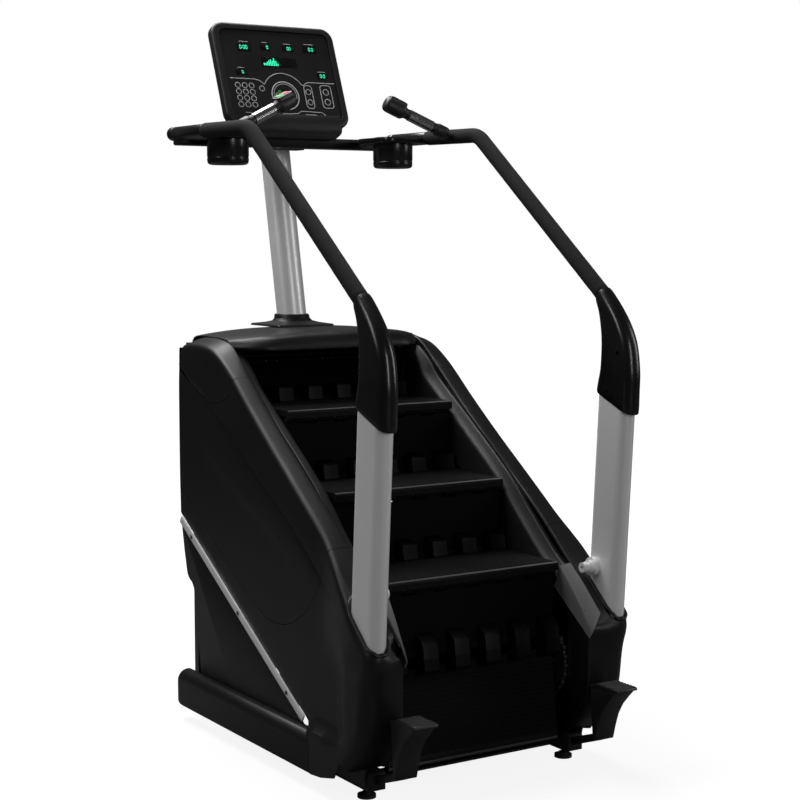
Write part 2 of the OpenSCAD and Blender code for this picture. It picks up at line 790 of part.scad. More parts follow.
module console_bezel() {
    color("#151515") placed() on_console() difference() {
        union() {
            console_slab(console_w, console_h, 42, 9.7);
            translate([0, -4, 0]) console_slab(console_w - 16, console_h - 16, 36, 6);
        }
        translate([0, -8, 0]) console_slab(console_w - 48, console_h - 48, 24, 12);
        translate([0, -8, 0]) console_slab(console_w - 80, console_h - 80, 24, 30);
    }
}
module display_panel() {
    color("#2f2f30") placed() on_console() translate([0, 0.5, 0])
        console_slab(console_w - 49, console_h - 49, 23.5, 3);
}
module reading_ledge() {
    color("#181818") placed() on_console() difference() {
        translate([-146, -58, -46]) cube([292, 53.5, 58]);
        translate([-138, -50, -38]) cube([276, 60, 60]);
    }
}
module control_board() {
    color("seagreen") placed() on_console() translate([0, 16, 0]) console_slab(260, 180, 4, 2);
}

// ---- Foot pegs and sensors ----
module foot_pegs() {
    color("#202020") placed() pair() {
        across(288, 358)
            polygon([[-614, 262], [-520, 262], [-495, 250], [-495, 240], [-520, 250], [-610, 250]]);
        for (x = [288, 350]) across(x, x + 8)
            polygon([[-600, 251], [-496, 251], [-494, 180], [-491, 150], [-505, 140], [-522, 185],
                     [-560, 225]]);
        across(307, 339)
            polygon([[-508, 252], [-495, 252], [-492, 140], [-505, 92], [-512, 96], [-506, 140]]);
        across(313, 333) polygon([[-509, 94], [-500, 112], [-385, 72], [-385, 50], [-390, 50]]);
        across(303, 351) translate([rail_front - 6, 32]) square([6, 46]);
    }
}
module rail_sensors() {
    color("silver") placed() pair() difference() {
        union() {
            across(349, 361) translate(sensor_centre) circle(26);
            rod(sensor_centre, 338, 349, 18);
            rod(sensor_centre, 318, 338, 14);
            rod(sensor_centre, 361, 372, 8);
        }
        rod(sensor_centre, 300, 330, 6);
    }
}

base_frame();
levelling_feet();
left_transport_wheel();
right_transport_wheel();
idler_shaft();
idler_sprockets();
idler_chain_wraps();
drive_shaft();
drive_sprockets();
drive_chain_wraps();
driven_pulley();
shaft_bearings();
brake_housing();
brake_rotor();
drive_belt();
front_treads();
front_risers();
front_hinge_pins();
front_chains();
lower_tread();
lower_nose_pin();
lower_riser();
return_treads();
return_risers();
return_hinge_pins();
return_chains();
upper_riser();
upper_nose_pin();
upper_tread();
upper_side_panels();
front_side_panels();
lower_side_panels();
side_strips();
cover_screws();
base_skirts();
inner_walls();
entry_trims();
hood();
rear_cover();
uprights();
elbow_covers();
handrail_frame();
foam_grips();
cup_holders();
heart_rate_grips();
heart_rate_contacts();
left_green_key();
left_red_key();
right_green_key();
right_red_key();
mast();
mast_collar();
console_shell();
console_bezel();
display_panel();
reading_ledge();
foot_pegs();
rail_sensors();
control_board();
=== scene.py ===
"""Looks for the stair climber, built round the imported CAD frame. Lengths below are in millimetres."""

import json
import math

import bmesh
import bpy
from mathutils import Matrix, Vector, geometry, noise

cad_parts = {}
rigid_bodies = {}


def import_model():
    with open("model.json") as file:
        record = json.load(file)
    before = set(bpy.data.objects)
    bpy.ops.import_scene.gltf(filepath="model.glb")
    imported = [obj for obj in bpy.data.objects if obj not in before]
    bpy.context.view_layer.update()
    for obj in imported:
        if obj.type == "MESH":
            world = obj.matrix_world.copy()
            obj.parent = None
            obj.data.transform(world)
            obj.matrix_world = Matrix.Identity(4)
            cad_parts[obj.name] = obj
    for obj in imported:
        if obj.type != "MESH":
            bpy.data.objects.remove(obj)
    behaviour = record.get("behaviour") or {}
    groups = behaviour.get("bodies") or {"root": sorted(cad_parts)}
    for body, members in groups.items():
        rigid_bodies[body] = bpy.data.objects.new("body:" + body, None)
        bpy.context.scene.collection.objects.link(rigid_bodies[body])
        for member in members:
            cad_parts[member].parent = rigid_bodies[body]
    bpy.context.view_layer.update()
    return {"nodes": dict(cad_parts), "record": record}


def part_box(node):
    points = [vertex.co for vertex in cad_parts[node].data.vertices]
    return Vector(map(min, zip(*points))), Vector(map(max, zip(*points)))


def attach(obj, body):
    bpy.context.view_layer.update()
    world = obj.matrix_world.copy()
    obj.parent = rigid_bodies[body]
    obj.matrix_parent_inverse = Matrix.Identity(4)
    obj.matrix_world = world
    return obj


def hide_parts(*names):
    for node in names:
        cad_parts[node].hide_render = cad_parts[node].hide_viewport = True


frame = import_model()
nodes = frame["nodes"]
MM = 0.001


def node_box(name):
    """A CAD node's box at rest, in millimetres of the row frame."""
    low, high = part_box(name)
    return low / MM, high / MM


# The outlines below are drawn from the bottom step's side, so y is shifted once to the row frame.
FOOT_FRONT_Y = -356.0
SHIFT_Y = node_box("levelling_feet")[0].y - FOOT_FRONT_Y
PANEL_X = node_box("upper_side_panels")[1].x
SKIRT_X = node_box("base_skirts")[1].x
HOOD_TOP = node_box("hood")[1].z


def place(x, y, z):
    return Vector((x, y + SHIFT_Y, z)) * MM


# ---------------------------------------------------------------- mesh helpers
def finish_mesh(obj, angle=35):
    mesh = obj.data
    for poly in mesh.polygons:
        poly.use_smooth = True
    mesh.set_sharp_from_angle(angle=math.radians(angle))
    return obj


def new_object(name, data):
    obj = bpy.data.objects.new(name, data)
    bpy.context.scene.collection.objects.link(obj)
    return obj


def to_object(name, bm, angle=35):
    mesh = bpy.data.meshes.new(name)
    bm.to_mesh(mesh)
    bm.free()
    return finish_mesh(new_object(name, mesh), angle)


def from_bmesh(name, bm, angle=35):
    bmesh.ops.recalc_face_normals(bm, faces=bm.faces)
    return to_object(name, bm, angle)


def bake(obj, angle=35):
    """Applies the modifiers of a piece."""
    bpy.context.view_layer.update()
    depsgraph = bpy.context.evaluated_depsgraph_get()
    mesh = bpy.data.meshes.new_from_object(obj.evaluated_get(depsgraph))
    obj.modifiers.clear()
    obj.data = mesh
    return finish_mesh(obj, angle)


def thicken(obj, t, angle=35):
    mod = obj.modifiers.new("wall", "SOLIDIFY")
    mod.thickness = t * MM
    mod.offset = -1
    mod.use_even_offset = False
    mod.use_quality_normals = True
    return bake(obj, angle)


def bevel(obj, name, width, segments, limit):
    mod = obj.modifiers.new(name, "BEVEL")
    mod.width = width * MM
    mod.segments = segments
    mod.limit_method = "ANGLE"
    mod.angle_limit = math.radians(limit)


def rounded(obj, width, segments=3, angle=35):
    bevel(obj, "rounding", width, segments, 30)
    return bake(obj, angle)


def surface_area(obj):
    return sum(p.area for p in obj.data.polygons)


def cut(obj, tool, angle=35):
    """Cuts the tool out of a piece. It stops the script if the solver loses most of the piece."""
    before = surface_area(obj)
    mod = obj.modifiers.new("cut", "BOOLEAN")
    mod.operation = "DIFFERENCE"
    mod.object = tool
    mod.solver = "EXACT"
    bake(obj, angle)
    bpy.data.objects.remove(tool)
    if surface_area(obj) < 0.4 * before:
        raise RuntimeError("the cut removed most of " + obj.name)
    return obj


def add_grid(bm, rows, close_rows=False, close_columns=False):
    verts = [[bm.verts.new(p) for p in row] for row in rows]
    count = len(rows)
    width = len(rows[0])
    for i in range(count if close_rows else count - 1):
        for j in range(width if close_columns else width - 1):
            a, b = verts[i], verts[(i + 1) % count]
            k = (j + 1) % width
            bm.faces.new((a[j], a[k], b[k], b[j]))
    return verts


def add_tube(bm, rings):
    """A closed body through rings of points, capped at both ends."""
    verts = add_grid(bm, rings, close_columns=True)
    bm.faces.new(verts[0])
    bm.faces.new(list(reversed(verts[-1])))
    return verts


def tube(name, rings, angle=35):
    """A piece made of one closed body through rings of points."""
    bm = bmesh.new()
    add_tube(bm, rings)
    return from_bmesh(name, bm, angle)


def prism(name, outline, x0, x1, radius=0, segments=3):
    """An outline drawn in [y, z], extruded along X."""
    obj = tube(name, [[place(x, y, z) for y, z in outline] for x in (x0, x1)])
    return rounded(obj, radius, segments) if radius else obj


def turned(name, rows):
    """A body of revolution. Each row is its profile at one angle, from axis to axis."""
    bm = bmesh.new()
    add_grid(bm, rows, close_rows=True)
    bmesh.ops.remove_doubles(bm, verts=bm.verts, dist=0.01 * MM)
    return from_bmesh(name, bm, 30)


def facing(obj, axis):
    """Turns a sheet over if its outer side doesn't face along +axis."""
    if sum((p.normal[axis] * p.area for p in obj.data.polygons), 0.0) < 0:
        obj.data.flip_normals()
    return obj


def shell(name, rows, thickness, angle, wall_angle=40, axis=2):
    """A thin wall behind a sheet of points."""
    bm = bmesh.new()
    add_grid(bm, rows)
    return thicken(facing(from_bmesh(name, bm, angle), axis), thickness, wall_angle)


def circle_points(r, count):
    turn = 2 * math.pi / count
    return [(r * math.cos(turn * i), r * math.sin(turn * i)) for i in range(count)]


def round_rect(w, h, r, steps=8):
    """Corner points of a rounded rectangle, going round once."""
    points = []
    for cx, cy, a0 in ((1, 1, 0), (-1, 1, 90), (-1, -1, 180), (1, -1, 270)):
        for i in range(steps + 1):
            a = math.radians(a0 + 90 * i / steps)
            points.append((cx * (w / 2 - r) + r * math.cos(a), cy * (h / 2 - r) + r * math.sin(a)))
    return points


def spline(points, spacing):
    """A smooth curve through 2-D points, resampled at an even spacing."""
    dense = []
    for i in range(len(points) - 1):
        p0 = points[max(i - 1, 0)]
        p1, p2 = points[i], points[i + 1]
        p3 = points[min(i + 2, len(points) - 1)]
        for k in range(24):
            t = k / 24
            dense.append(tuple(
                0.5 * (2 * b + (c - a) * t + (2 * a - 5 * b + 4 * c - d) * t * t
                       + (3 * b - a - 3 * c + d) * t ** 3)
                for a, b, c, d in zip(p0, p1, p2, p3)))
    dense.append(tuple(points[-1]))
    return resample(dense, spacing)


def resample(points, spacing):
    total = sum(math.dist(a, b) for a, b in zip(points, points[1:]))
    count = max(2, round(total / spacing))
    out = [tuple(points[0])]
    want, gone = total / count, 0.0
    for a, b in zip(points, points[1:]):
        length = math.dist(a, b)
        while gone + length >= want * len(out) and len(out) < count:
            t = (want * len(out) - gone) / length
            out.append(tuple(u + (v - u) * t for u, v in zip(a, b)))
        gone += length
    out.append(tuple(points[-1]))
    return out


def smooth(t):
    t = min(max(t, 0.0), 1.0)
    return t * t * (3 - 2 * t)


def mix(a, b, t):
    return a + (b - a) * t


def distance_to(line, p):
    """Signed distance from a polyline, positive on its left."""
    best = 1e9
    for a, b in zip(line, line[1:]):
        dx, dy = b[0] - a[0], b[1] - a[1]
        t = ((p[0] - a[0]) * dx + (p[1] - a[1]) * dy) / (dx * dx + dy * dy)
        t = min(max(t, 0.0), 1.0)
        qx, qy = a[0] + t * dx - p[0], a[1] + t * dy - p[1]
        d = math.hypot(qx, qy)
        if d < abs(best):
            side = 1 if dx * (p[1] - a[1]) - dy * (p[0] - a[0]) > 0 else -1
            best = d * side
    return best


def inside(poly, p):
    hit = False
    for a, b in zip(poly, poly[1:] + poly[:1]):
        if (a[1] > p[1]) != (b[1] > p[1]):
            if p[0] < (b[0] - a[0]) * (p[1] - a[1]) / (b[1] - a[1]) + a[0]:
                hit = not hit
    return hit


def mirrored(obj, name):
    """The same piece for the other side of the machine."""
    mesh = obj.data.copy()
    mesh.transform(Matrix.Scale(-1, 4, (1, 0, 0)))
    mesh.flip_normals()
    return finish_mesh(new_object(name, mesh))


def joined(name, objs):
    bm = bmesh.new()
    for o in objs:
        bm.from_mesh(o.data)
    for o in objs:
        bpy.data.objects.remove(o)
    return to_object(name, bm)


# ---------------------------------------------------------------- materials
materials = {}


def make_node(tree, kind, **settings):
    """A shader node with some of its inputs set. An underscore in a name stands for a space."""
    node = tree.nodes.new("ShaderNode" + kind)
    for label, value in settings.items():
        node.inputs[label.replace("_", " ")].default_value = value
    return node


def material(slot, colour, roughness, metal=0.0, grain=900.0, bump=0.06, mottle=9.0, spread=0.12,
             edge_wear_highlight=0.25, edge_wear_highlight_colour=None, coat=0.0, stretch=(1, 1, 1), specular=0.5):
    """A moulded, painted or machined surface: mottled colour, uneven gloss, fine grain, and convex edges
    lightened partly as rubbed wear and partly as a painted edge highlight.
    """
    mat = bpy.data.materials.new(slot)
    mat.use_nodes = True
    tree = mat.node_tree
    link = tree.links.new
    shader = tree.nodes["Principled BSDF"]
    where = make_node(tree, "TexCoord")
    stretched = make_node(tree, "Mapping", Scale=stretch)
    link(where.outputs["Object"], stretched.inputs["Vector"])
    broad = make_node(tree, "TexNoise", Scale=mottle, Detail=6)
    link(stretched.outputs["Vector"], broad.inputs["Vector"])
    fine = make_node(tree, "TexNoise", Scale=grain)
    link(stretched.outputs["Vector"], fine.inputs["Vector"])

    shade = make_node(tree, "MapRange", To_Min=1 - spread, To_Max=1 + spread)
    link(broad.outputs[0], shade.inputs["Value"])
    tint = make_node(tree, "VectorMath")
    tint.operation = "SCALE"
    tint.inputs[0].default_value = colour
    link(shade.outputs[0], tint.inputs["Scale"])

    # Convex edges are found by pointiness and broken up by the mottle, then lightened towards the edge
    # colour. This is partly rubbed wear and partly a painted highlight along the edges.
    edge = make_node(tree, "NewGeometry")
    edge_wear_highlight_mask = make_node(tree, "MapRange", From_Min=0.52, From_Max=0.66, To_Max=edge_wear_highlight)
    link(edge.outputs["Pointiness"], edge_wear_highlight_mask.inputs["Value"])
    patchy_wear_highlight = make_node(tree, "Math")
    patchy_wear_highlight.operation = "MULTIPLY"
    link(edge_wear_highlight_mask.outputs[0], patchy_wear_highlight.inputs[0])
    link(broad.outputs[0], patchy_wear_highlight.inputs[1])
    wear_highlight_blend = make_node(tree, "Mix")
    wear_highlight_blend.data_type = "RGBA"
    link(patchy_wear_highlight.outputs[0], wear_highlight_blend.inputs["Factor"])
    link(tint.outputs[0], wear_highlight_blend.inputs["A"])
    wear_highlight_blend.inputs["B"].default_value = (*(edge_wear_highlight_colour or [min(1, c * 3 + 0.02) for c in colour]), 1)
    link(wear_highlight_blend.outputs["Result"], shader.inputs["Base Color"])

    gloss = make_node(tree, "MapRange", To_Min=max(0.02, roughness - 0.08),
                      To_Max=min(1, roughness + 0.08))
    link(broad.outputs[0], gloss.inputs["Value"])
    link(gloss.outputs[0], shader.inputs["Roughness"])
    relief = make_node(tree, "Bump", Strength=bump, Distance=0.0006)
    link(fine.outputs[0], relief.inputs["Height"])
    link(relief.outputs["Normal"], shader.inputs["Normal"])
    for label, value in (("Metallic", metal), ("Coat Weight", coat), ("Coat Roughness", 0.08),
                         ("Specular IOR Level", specular)):
        shader.inputs[label].default_value = value
    materials[slot] = mat
    return mat


def glowing(slot, colour, strength):
    mat = material(slot, colour, 0.4)
    shader = mat.node_tree.nodes["Principled BSDF"]
    shader.inputs["Emission Color"].default_value = (*colour, 1)
    shader.inputs["Emission Strength"].default_value = strength
    return mat


material("frame_paint", (0.02, 0.02, 0.021), 0.42, grain=1400, bump=0.15)
material("black_rubber", (0.013, 0.013, 0.013), 0.75, grain=700, bump=0.3)
material("ground_steel", (0.55, 0.55, 0.56), 0.28, metal=1, stretch=(2, 60, 60), grain=60, bump=0.1)
material("cast_metal", (0.2, 0.2, 0.21), 0.5, metal=1, grain=500, bump=0.35)
material("chain_steel", (0.3, 0.3, 0.31), 0.33, metal=1, grain=300, bump=0.15, mottle=40)
material("belt_rubber", (0.012, 0.012, 0.012), 0.7, grain=900, bump=0.3)
material("tread_plastic", (0.0028, 0.0028, 0.003), 0.55, grain=1100, bump=0.3, spread=0.25, mottle=14,
         edge_wear_highlight=0.45, edge_wear_highlight_colour=(0.03, 0.03, 0.031), specular=0.11)
material("nosing_grip", (0.04, 0.04, 0.041), 0.5, grain=900, bump=0.4, spread=0.35, mottle=30, edge_wear_highlight=0.6)
material("riser_plastic", (0.0011, 0.0011, 0.0012), 0.7, grain=1000, bump=0.2, edge_wear_highlight=0.25, specular=0.07)
material("cover_plastic", (0.0045, 0.0045, 0.0047), 0.4, grain=1500, bump=0.2, mottle=5, spread=0.12,
         edge_wear_highlight=0.2, specular=0.36)
material("inner_plastic", (0.0055, 0.0055, 0.0058), 0.5, grain=1500, bump=0.22)
material("trim_plastic", (0.13, 0.13, 0.133), 0.48, grain=1500, bump=0.2, spread=0.1)
material("bright_strip", (0.9, 0.9, 0.905), 0.4, metal=0.45, stretch=(60, 2, 2), grain=40, bump=0.06)
material("black_steel", (0.02, 0.02, 0.02), 0.35, grain=900, bump=0.1)
material("silver_paint", (0.84, 0.84, 0.845), 0.36, metal=0.25, grain=2600, bump=0.12, mottle=4,
         spread=0.05, edge_wear_highlight=0.1, coat=0.25)
material("gloss_black", (0.004, 0.004, 0.0042), 0.27, grain=160, bump=0.012, mottle=8, edge_wear_highlight=0.08,
         coat=0.12)
material("foam", (0.0085, 0.0085, 0.0088), 0.9, grain=1900, bump=0.22, spread=0.14, mottle=30, edge_wear_highlight=0.1,
         specular=0.25)
material("grip_plastic", (0.01, 0.01, 0.0105), 0.42, grain=900, bump=0.25)
material("contact_chrome", (0.42, 0.42, 0.43), 0.2, metal=1, stretch=(3, 3, 40), grain=30, bump=0.03)
material("green_key", (0.01, 0.42, 0.06), 0.3, grain=900, bump=0.1)
material("red_key", (0.55, 0.02, 0.02), 0.3, grain=900, bump=0.1)
material("console_plastic", (0.0075, 0.0075, 0.0078), 0.42, grain=1500, bump=0.22)
material("display", (0.009, 0.009, 0.0094), 0.34, grain=2200, bump=0.12, spread=0.06)
material("cast_black", (0.012, 0.012, 0.0125), 0.45, grain=700, bump=0.35, edge_wear_highlight=0.4)
material("circuit_board", (0.02, 0.15, 0.06), 0.4, grain=400, bump=0.3)
material("window_glass", (0.004, 0.0045, 0.0045), 0.12, grain=60, bump=0.01, edge_wear_highlight=0)
material("print_white", (0.66, 0.66, 0.67), 0.5, grain=1600, bump=0.1, edge_wear_highlight=0)
glowing("led_green", (0.02, 0.75, 0.35), 1.6)
glowing("led_orange", (0.8, 0.25, 0.03), 0.4)

slot_of = {row["node"]: row["material_slot"] for row in frame["record"]["subparts"]}
for node_name, obj in nodes.items():
    for mat_slot in obj.material_slots:
        mat_slot.link = "OBJECT"
        mat_slot.material = materials[slot_of[node_name]]


def dress(obj, slot, body="machine", replaces=(), look=None):
    """Gives a piece its finish, its body and the CAD nodes it stands for."""
    obj.data.materials.clear()
    obj.data.materials.append(materials[look or slot])
    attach(obj, body)
    if replaces:
        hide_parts(*replaces)
    return obj


# ---------------------------------------------------------------- side housings
CREST = [(651, 1112), (647, 1130), (632, 1144), (600, 1150), (560, 1152), (520, 1152), (480, 1149),
         (440, 1141), (405, 1128), (370, 1109), (335, 1087), (304, 1065), (252, 1024), (192, 977),
         (66, 884), (-60, 795), (-187, 705), (-270, 640), (-358, 564), (-412, 514), (-458, 474),
         (-490, 446), (-504, 428), (-509, 404), (-504, 378), (-490, 330), (-478, 240), (-464, 190),
         (-434, 140), (-378, 92)]
HOOD_END, FRONT_START = (304, 1065), (-250, 655)
GROOVE = [(700, 1098), (480, 990), (308, 908), (186, 822), (-27, 705), (-154, 617), (-330, 484)]
SOFT_CREASE = [(540, 886), (461, 838), (270, 750), (89, 670), (-63, 603)]
SEAM = [(-236, 618), (-219, 586), (-180, 524), (-116, 458), (-50, 420), (10, 403), (94, 403), (214, 450),
        (400, 560), (593, 676), (660, 716)]
LOBE = [(311, 1036), (328, 1010), (360, 995), (414, 982), (480, 989), (569, 1026), (655, 1076)]
STRIP = [(-113, 167.08), (643, 609.66)]
STRIP_SLOPE = (STRIP[1][1] - STRIP[0][1]) / (STRIP[1][0] - STRIP[0][0])


def strip_z(y, off):
    return STRIP[0][1] + (y - STRIP[0][0]) * STRIP_SLOPE + off * math.hypot(1, STRIP_SLOPE)


def outer_x(y, z):
    """The housing's outer face: two soft planes that meet at a crease, and a raised border."""
    corner = mix(smooth((-296 - y) / 88), smooth((-190 - y) / 240), smooth((z - 330) / 120))
    foot = smooth((186 - z) / 36) * smooth((-128 - y) / 60)
    raised = 1 - (1 - corner) * (1 - foot)
    d = distance_to(GROOVE, (y, z))
    fade = smooth((y + 320) / 150)
    inset = 7 * smooth(-d / 110) if d < 0 else 2.5 + 6 * math.exp(-d / 14)
    soft = distance_to(SOFT_CREASE, (y, z))
    soft_ends = smooth((y + 70) / 80) * smooth((560 - y) / 90)
    inset += 1.8 * smooth(soft / 30) * math.exp(-max(soft, 0) / 160) * soft_ends
    border = mix(SKIRT_X - 0.6, SKIRT_X - 5, smooth((z - 385) / 50))
    return mix(PANEL_X - inset * fade, border, raised)


dense_crest = spline(CREST, 0.9)


def crest_stations(first, last):
    """Evenly spread stations of the crest with their outward normals, as (y, z, ny, nz)."""
    parts = max(1, round((last - first) / 14))
    picks = [first + round((last - first) * k / parts) for k in range(parts + 1)]
    out = []
    for i in picks:
        a, b = dense_crest[max(i - 6, 0)], dense_crest[min(i + 6, len(dense_crest) - 1)]
        n = math.dist(a, b)
        out.append((*dense_crest[i], (b[1] - a[1]) / n, -(b[0] - a[0]) / n))
    return out


def crest_index(point):
    return min(range(len(dense_crest)), key=lambda i: math.dist(dense_crest[i], point))


hood_seam, front_seam = crest_index(HOOD_END), crest_index(FRONT_START)
HOOD_STATIONS = crest_stations(0, hood_seam - 1)
UPPER_STATIONS = crest_stations(hood_seam + 1, front_seam - 1)
FRONT_STATIONS = crest_stations(front_seam + 1, len(dense_crest) - 1)
EDGE_STEPS = 9
EDGE_RADIUS = 38  # of the pillar's outer edge


def rim_set_back(y):
    """How far the pillar's inner rim lies behind its outer face."""
    return 30 * smooth((-466 - y) / 44)


def crest_section(station):
    """The band's cross-section at one station, from its inner edge over the crest to the side face."""
    y, z, ny, nz = station
    front = smooth((-300 - y) / 150)
    inner_x = mix(300.5, 325.5, smooth((z - 384) / 56))
    radius = mix(17, EDGE_RADIUS, front)
    face = outer_x(y - ny * radius, z - nz * radius)
    lift = 17 * smooth((y - 304) / 140)
    set_back = rim_set_back(y)
    shape = [(inner_x, mix(9, 22, front)), (inner_x + 1.0, 3.4), (inner_x + 3, 1.2), (inner_x + 6, 0.3),
             (mix(inner_x, face, 0.3), -0.8), (mix(inner_x, face - radius, 0.85), -0.2)]
    for k in range(EDGE_STEPS + 1):
        a = math.pi / 2 * k / EDGE_STEPS
        shape.append((face - radius + radius * math.sin(a), radius * (1 - math.cos(a))))
    row = []
    for x, d in shape:
        d += set_back * (1 - smooth((x - inner_x) / 70))
        rise = lift * max(0.0, (face - radius - x) / (face - radius - inner_x))
        row.append(place(x, y - ny * d, z - nz * d + rise))
    return row, (y - ny * radius, z - nz * radius)


def side_piece(name, stations, boundary, features, spacing=24):
    """A piece of the housing: a length of the band with the side face that hangs from it.
    Boundary is the rest of the face's outline, going on from the last station back to the first."""
    bm = bmesh.new()
    ring = []
    rows = []
    for station in stations:
        row, edge = crest_section(station)
        rows.append(row)
        ring.append(edge)
    add_grid(bm, rows)
    outline = ring + resample([ring[-1]] + boundary + [ring[0]], 14)[1:-1]
    points = list(outline)
    edges = [(k, (k + 1) % len(outline)) for k in range(len(outline))]
    loop = outline + outline[:1]

    def offer(p, clearance):
        if inside(outline, p) and abs(distance_to(loop, p)) > clearance:
            points.append(p)

    for line, offsets in features:
        steps = resample(line, 12)
        for a, b in zip(steps, steps[1:]):
            n = math.dist(a, b)
            for off in offsets:
                offer((a[0] - off * (b[1] - a[1]) / n, a[1] + off * (b[0] - a[0]) / n), 3)
    low_y, high_y = min(p[0] for p in outline), max(p[0] for p in outline)
    low_z, high_z = min(p[1] for p in outline), max(p[1] for p in outline)
    row_index = 0
    z = low_z + spacing / 2
    while z < high_z:
        y = low_y + spacing * (0.5 if row_index % 2 else 1.0)
        while y < high_y:
            if all(abs(distance_to(line, (y, z))) > 18 for line, _ in features):
                offer((y, z), spacing * 0.4)
            y += spacing
        z += spacing * 0.87
        row_index += 1
    out = geometry.delaunay_2d_cdt([Vector(p) for p in points], edges, [], 1, 1e-4)
    made = [bm.verts.new(place(outer_x(p.x, p.y), p.x, p.y)) for p in out[0]]
    for tri in out[2]:
        mid = sum((out[0][k] for k in tri), Vector((0, 0))) / len(tri)
        if inside(outline, (mid.x, mid.y)):
            bm.faces.new([made[k] for k in tri])
    bmesh.ops.remove_doubles(bm, verts=bm.verts, dist=0.6 * MM)
    return thicken(facing(from_bmesh(name, bm, 50), 0), 3.2, 40)


GROOVE_BANDS = [(GROOVE, (-14, -5, -1.2, 0, 1.2, 5, 14)), (SOFT_CREASE, (-12, -6, 0, 7, 14))]


def shifted(line, dy, dz):
    return [(y + dy, z + dz) for y, z in line]


RAIL_X = node_box("uprights")[1].x - 26
UPRIGHT_FOOT, UPRIGHT_TOP = (-437.6, 410), (-475.6, 1006)
UPRIGHT_LEAN = math.atan2(UPRIGHT_TOP[0] - UPRIGHT_FOOT[0], UPRIGHT_TOP[1] - UPRIGHT_FOOT[1])
UPRIGHT_W, UPRIGHT_D, UPRIGHT_R = 52, 126, 25.9


def upright_point(u, v, h):
    """A point of the upright: across it, along its depth, and up from its foot."""
    y = UPRIGHT_FOOT[0] + math.sin(UPRIGHT_LEAN) * h + v * math.cos(UPRIGHT_LEAN)
    z = UPRIGHT_FOOT[1] + math.cos(UPRIGHT_LEAN) * h - v * math.sin(UPRIGHT_LEAN)
    return RAIL_X + u, y, z


def upright_section(grow, steps=8):
    return round_rect(UPRIGHT_W + 2 * grow, UPRIGHT_D + 2 * grow, UPRIGHT_R + grow, steps)


def upright_tool(grow):
    """The upright's outer shape, a little larger, for cutting its socket."""
    return tube("upright_tool", [[place(*upright_point(u, v, h)) for u, v in upright_section(grow)]
                                 for h in (-6, 320)])


def band_height(y):
    """Height of the band's crest at y, in front of the treads."""
    best = min((p for p in dense_crest if p[1] > 425), key=lambda p: abs(p[0] - y))
    return best[1]


def foot_collar(name):
    """A rolled lip where the upright goes into the housing."""
    path = []
    for u, v in upright_section(4.5, 12):
        x, y, _ = upright_point(u, v, 40)
        drop = max(0.0, x - (SKIRT_X - EDGE_RADIUS - 1))
        fall = EDGE_RADIUS - math.sqrt(max(0.0, EDGE_RADIUS ** 2 - drop ** 2))
        path.append(Vector((x, y, band_height(y) - fall + 0.6)))
    rings = []
    count = len(path)
    centre = sum(path, Vector()) / count
    for i, p in enumerate(path):
        ahead = (path[(i + 1) % count] - path[i - 1]).normalized()
        out = (p - centre) - ahead * (p - centre).dot(ahead)
        out.normalize()
        up = ahead.cross(out)
        ring = []
        for a, b in circle_points(1, 14):
            q = p + out * a * 5.8 + up * b * 4.4
            ring.append(place(q.x, q.y, q.z))
        rings.append(ring)
    bm = bmesh.new()
    add_grid(bm, rings, close_rows=True, close_columns=True)
    return from_bmesh(name, bm, 60)


def both_sides(make, base, slot, replaces=()):
    right = make("right_" + base)
    left = mirrored(right, "left_" + base)
    dress(right, slot, replaces=replaces)
    dress(left, slot, replaces=replaces)
    return left, right


def upper_panel(name):
    boundary = shifted(SEAM[:-1], 0, 0.9) + [(650, 712), (652, 929), (652, 1066)]
    boundary += list(reversed(shifted(LOBE[:-1], 0, -0.9)))
    return side_piece(name, UPPER_STATIONS, boundary, GROOVE_BANDS)


def hood_wing(name):
    boundary = shifted(LOBE[:-1], 0, 0.9) + [(650, 1072), (642, 1092)]
    return side_piece(name, HOOD_STATIONS, boundary, [], 20)


def front_panel(name):
    boundary = [(-330, 66), (-262, 50), (-199, 44), (-198.6, 90), (-198.6, 134)]
    boundary += [(-113, strip_z(-113, 13.5)), (300, strip_z(300, 13.5)), (649, strip_z(649, 13.5)),
                 (651, 708)]
    boundary += list(reversed(shifted(SEAM[:-1], 0, -0.9)))
    obj = side_piece(name, FRONT_STATIONS, boundary, GROOVE_BANDS, 20)
    obj = cut(obj, upright_tool(1.4), angle=40)
    return joined(name, [obj, foot_collar("collar")])


def pillar_cheek(name):
    """The pillar's inner side, under the band's rim."""
    front = [(y - ny * (20 + rim_set_back(y)), z - nz * (20 + rim_set_back(y)))
             for y, z, ny, nz in FRONT_STATIONS if y < -384 and z < 470]
    outline = front + [(-384, 108), (-384, 300), (-380, 390), (-366, 470), (-404, 476)]
    return prism(name, outline, 301, 304, 1.2, 2)


both_sides(upper_panel, "upper_panel", "cover_plastic", ["upper_side_panels"])
both_sides(front_panel, "front_panel", "cover_plastic", ["front_side_panels"])
both_sides(pillar_cheek, "pillar_cheek", "cover_plastic")
both_sides(hood_wing, "hood_wing", "cover_plastic")


def lower_panel(name):
    outline = [(-200, 116), (-113, strip_z(-113, -14)), (646, strip_z(646, -14)), (628, 510), (611, 447),
               (598, 432), (578, 424), (566, 408), (545, 300), (524, 161), (516, 100), (-180, 100)]
    outline = resample(outline + outline[:1], 12)[:-1]
    return prism(name, outline, PANEL_X - 6.5, PANEL_X - 3, 1.2, 2)


both_sides(lower_panel, "lower_panel", "cover_plastic", ["lower_side_panels"])


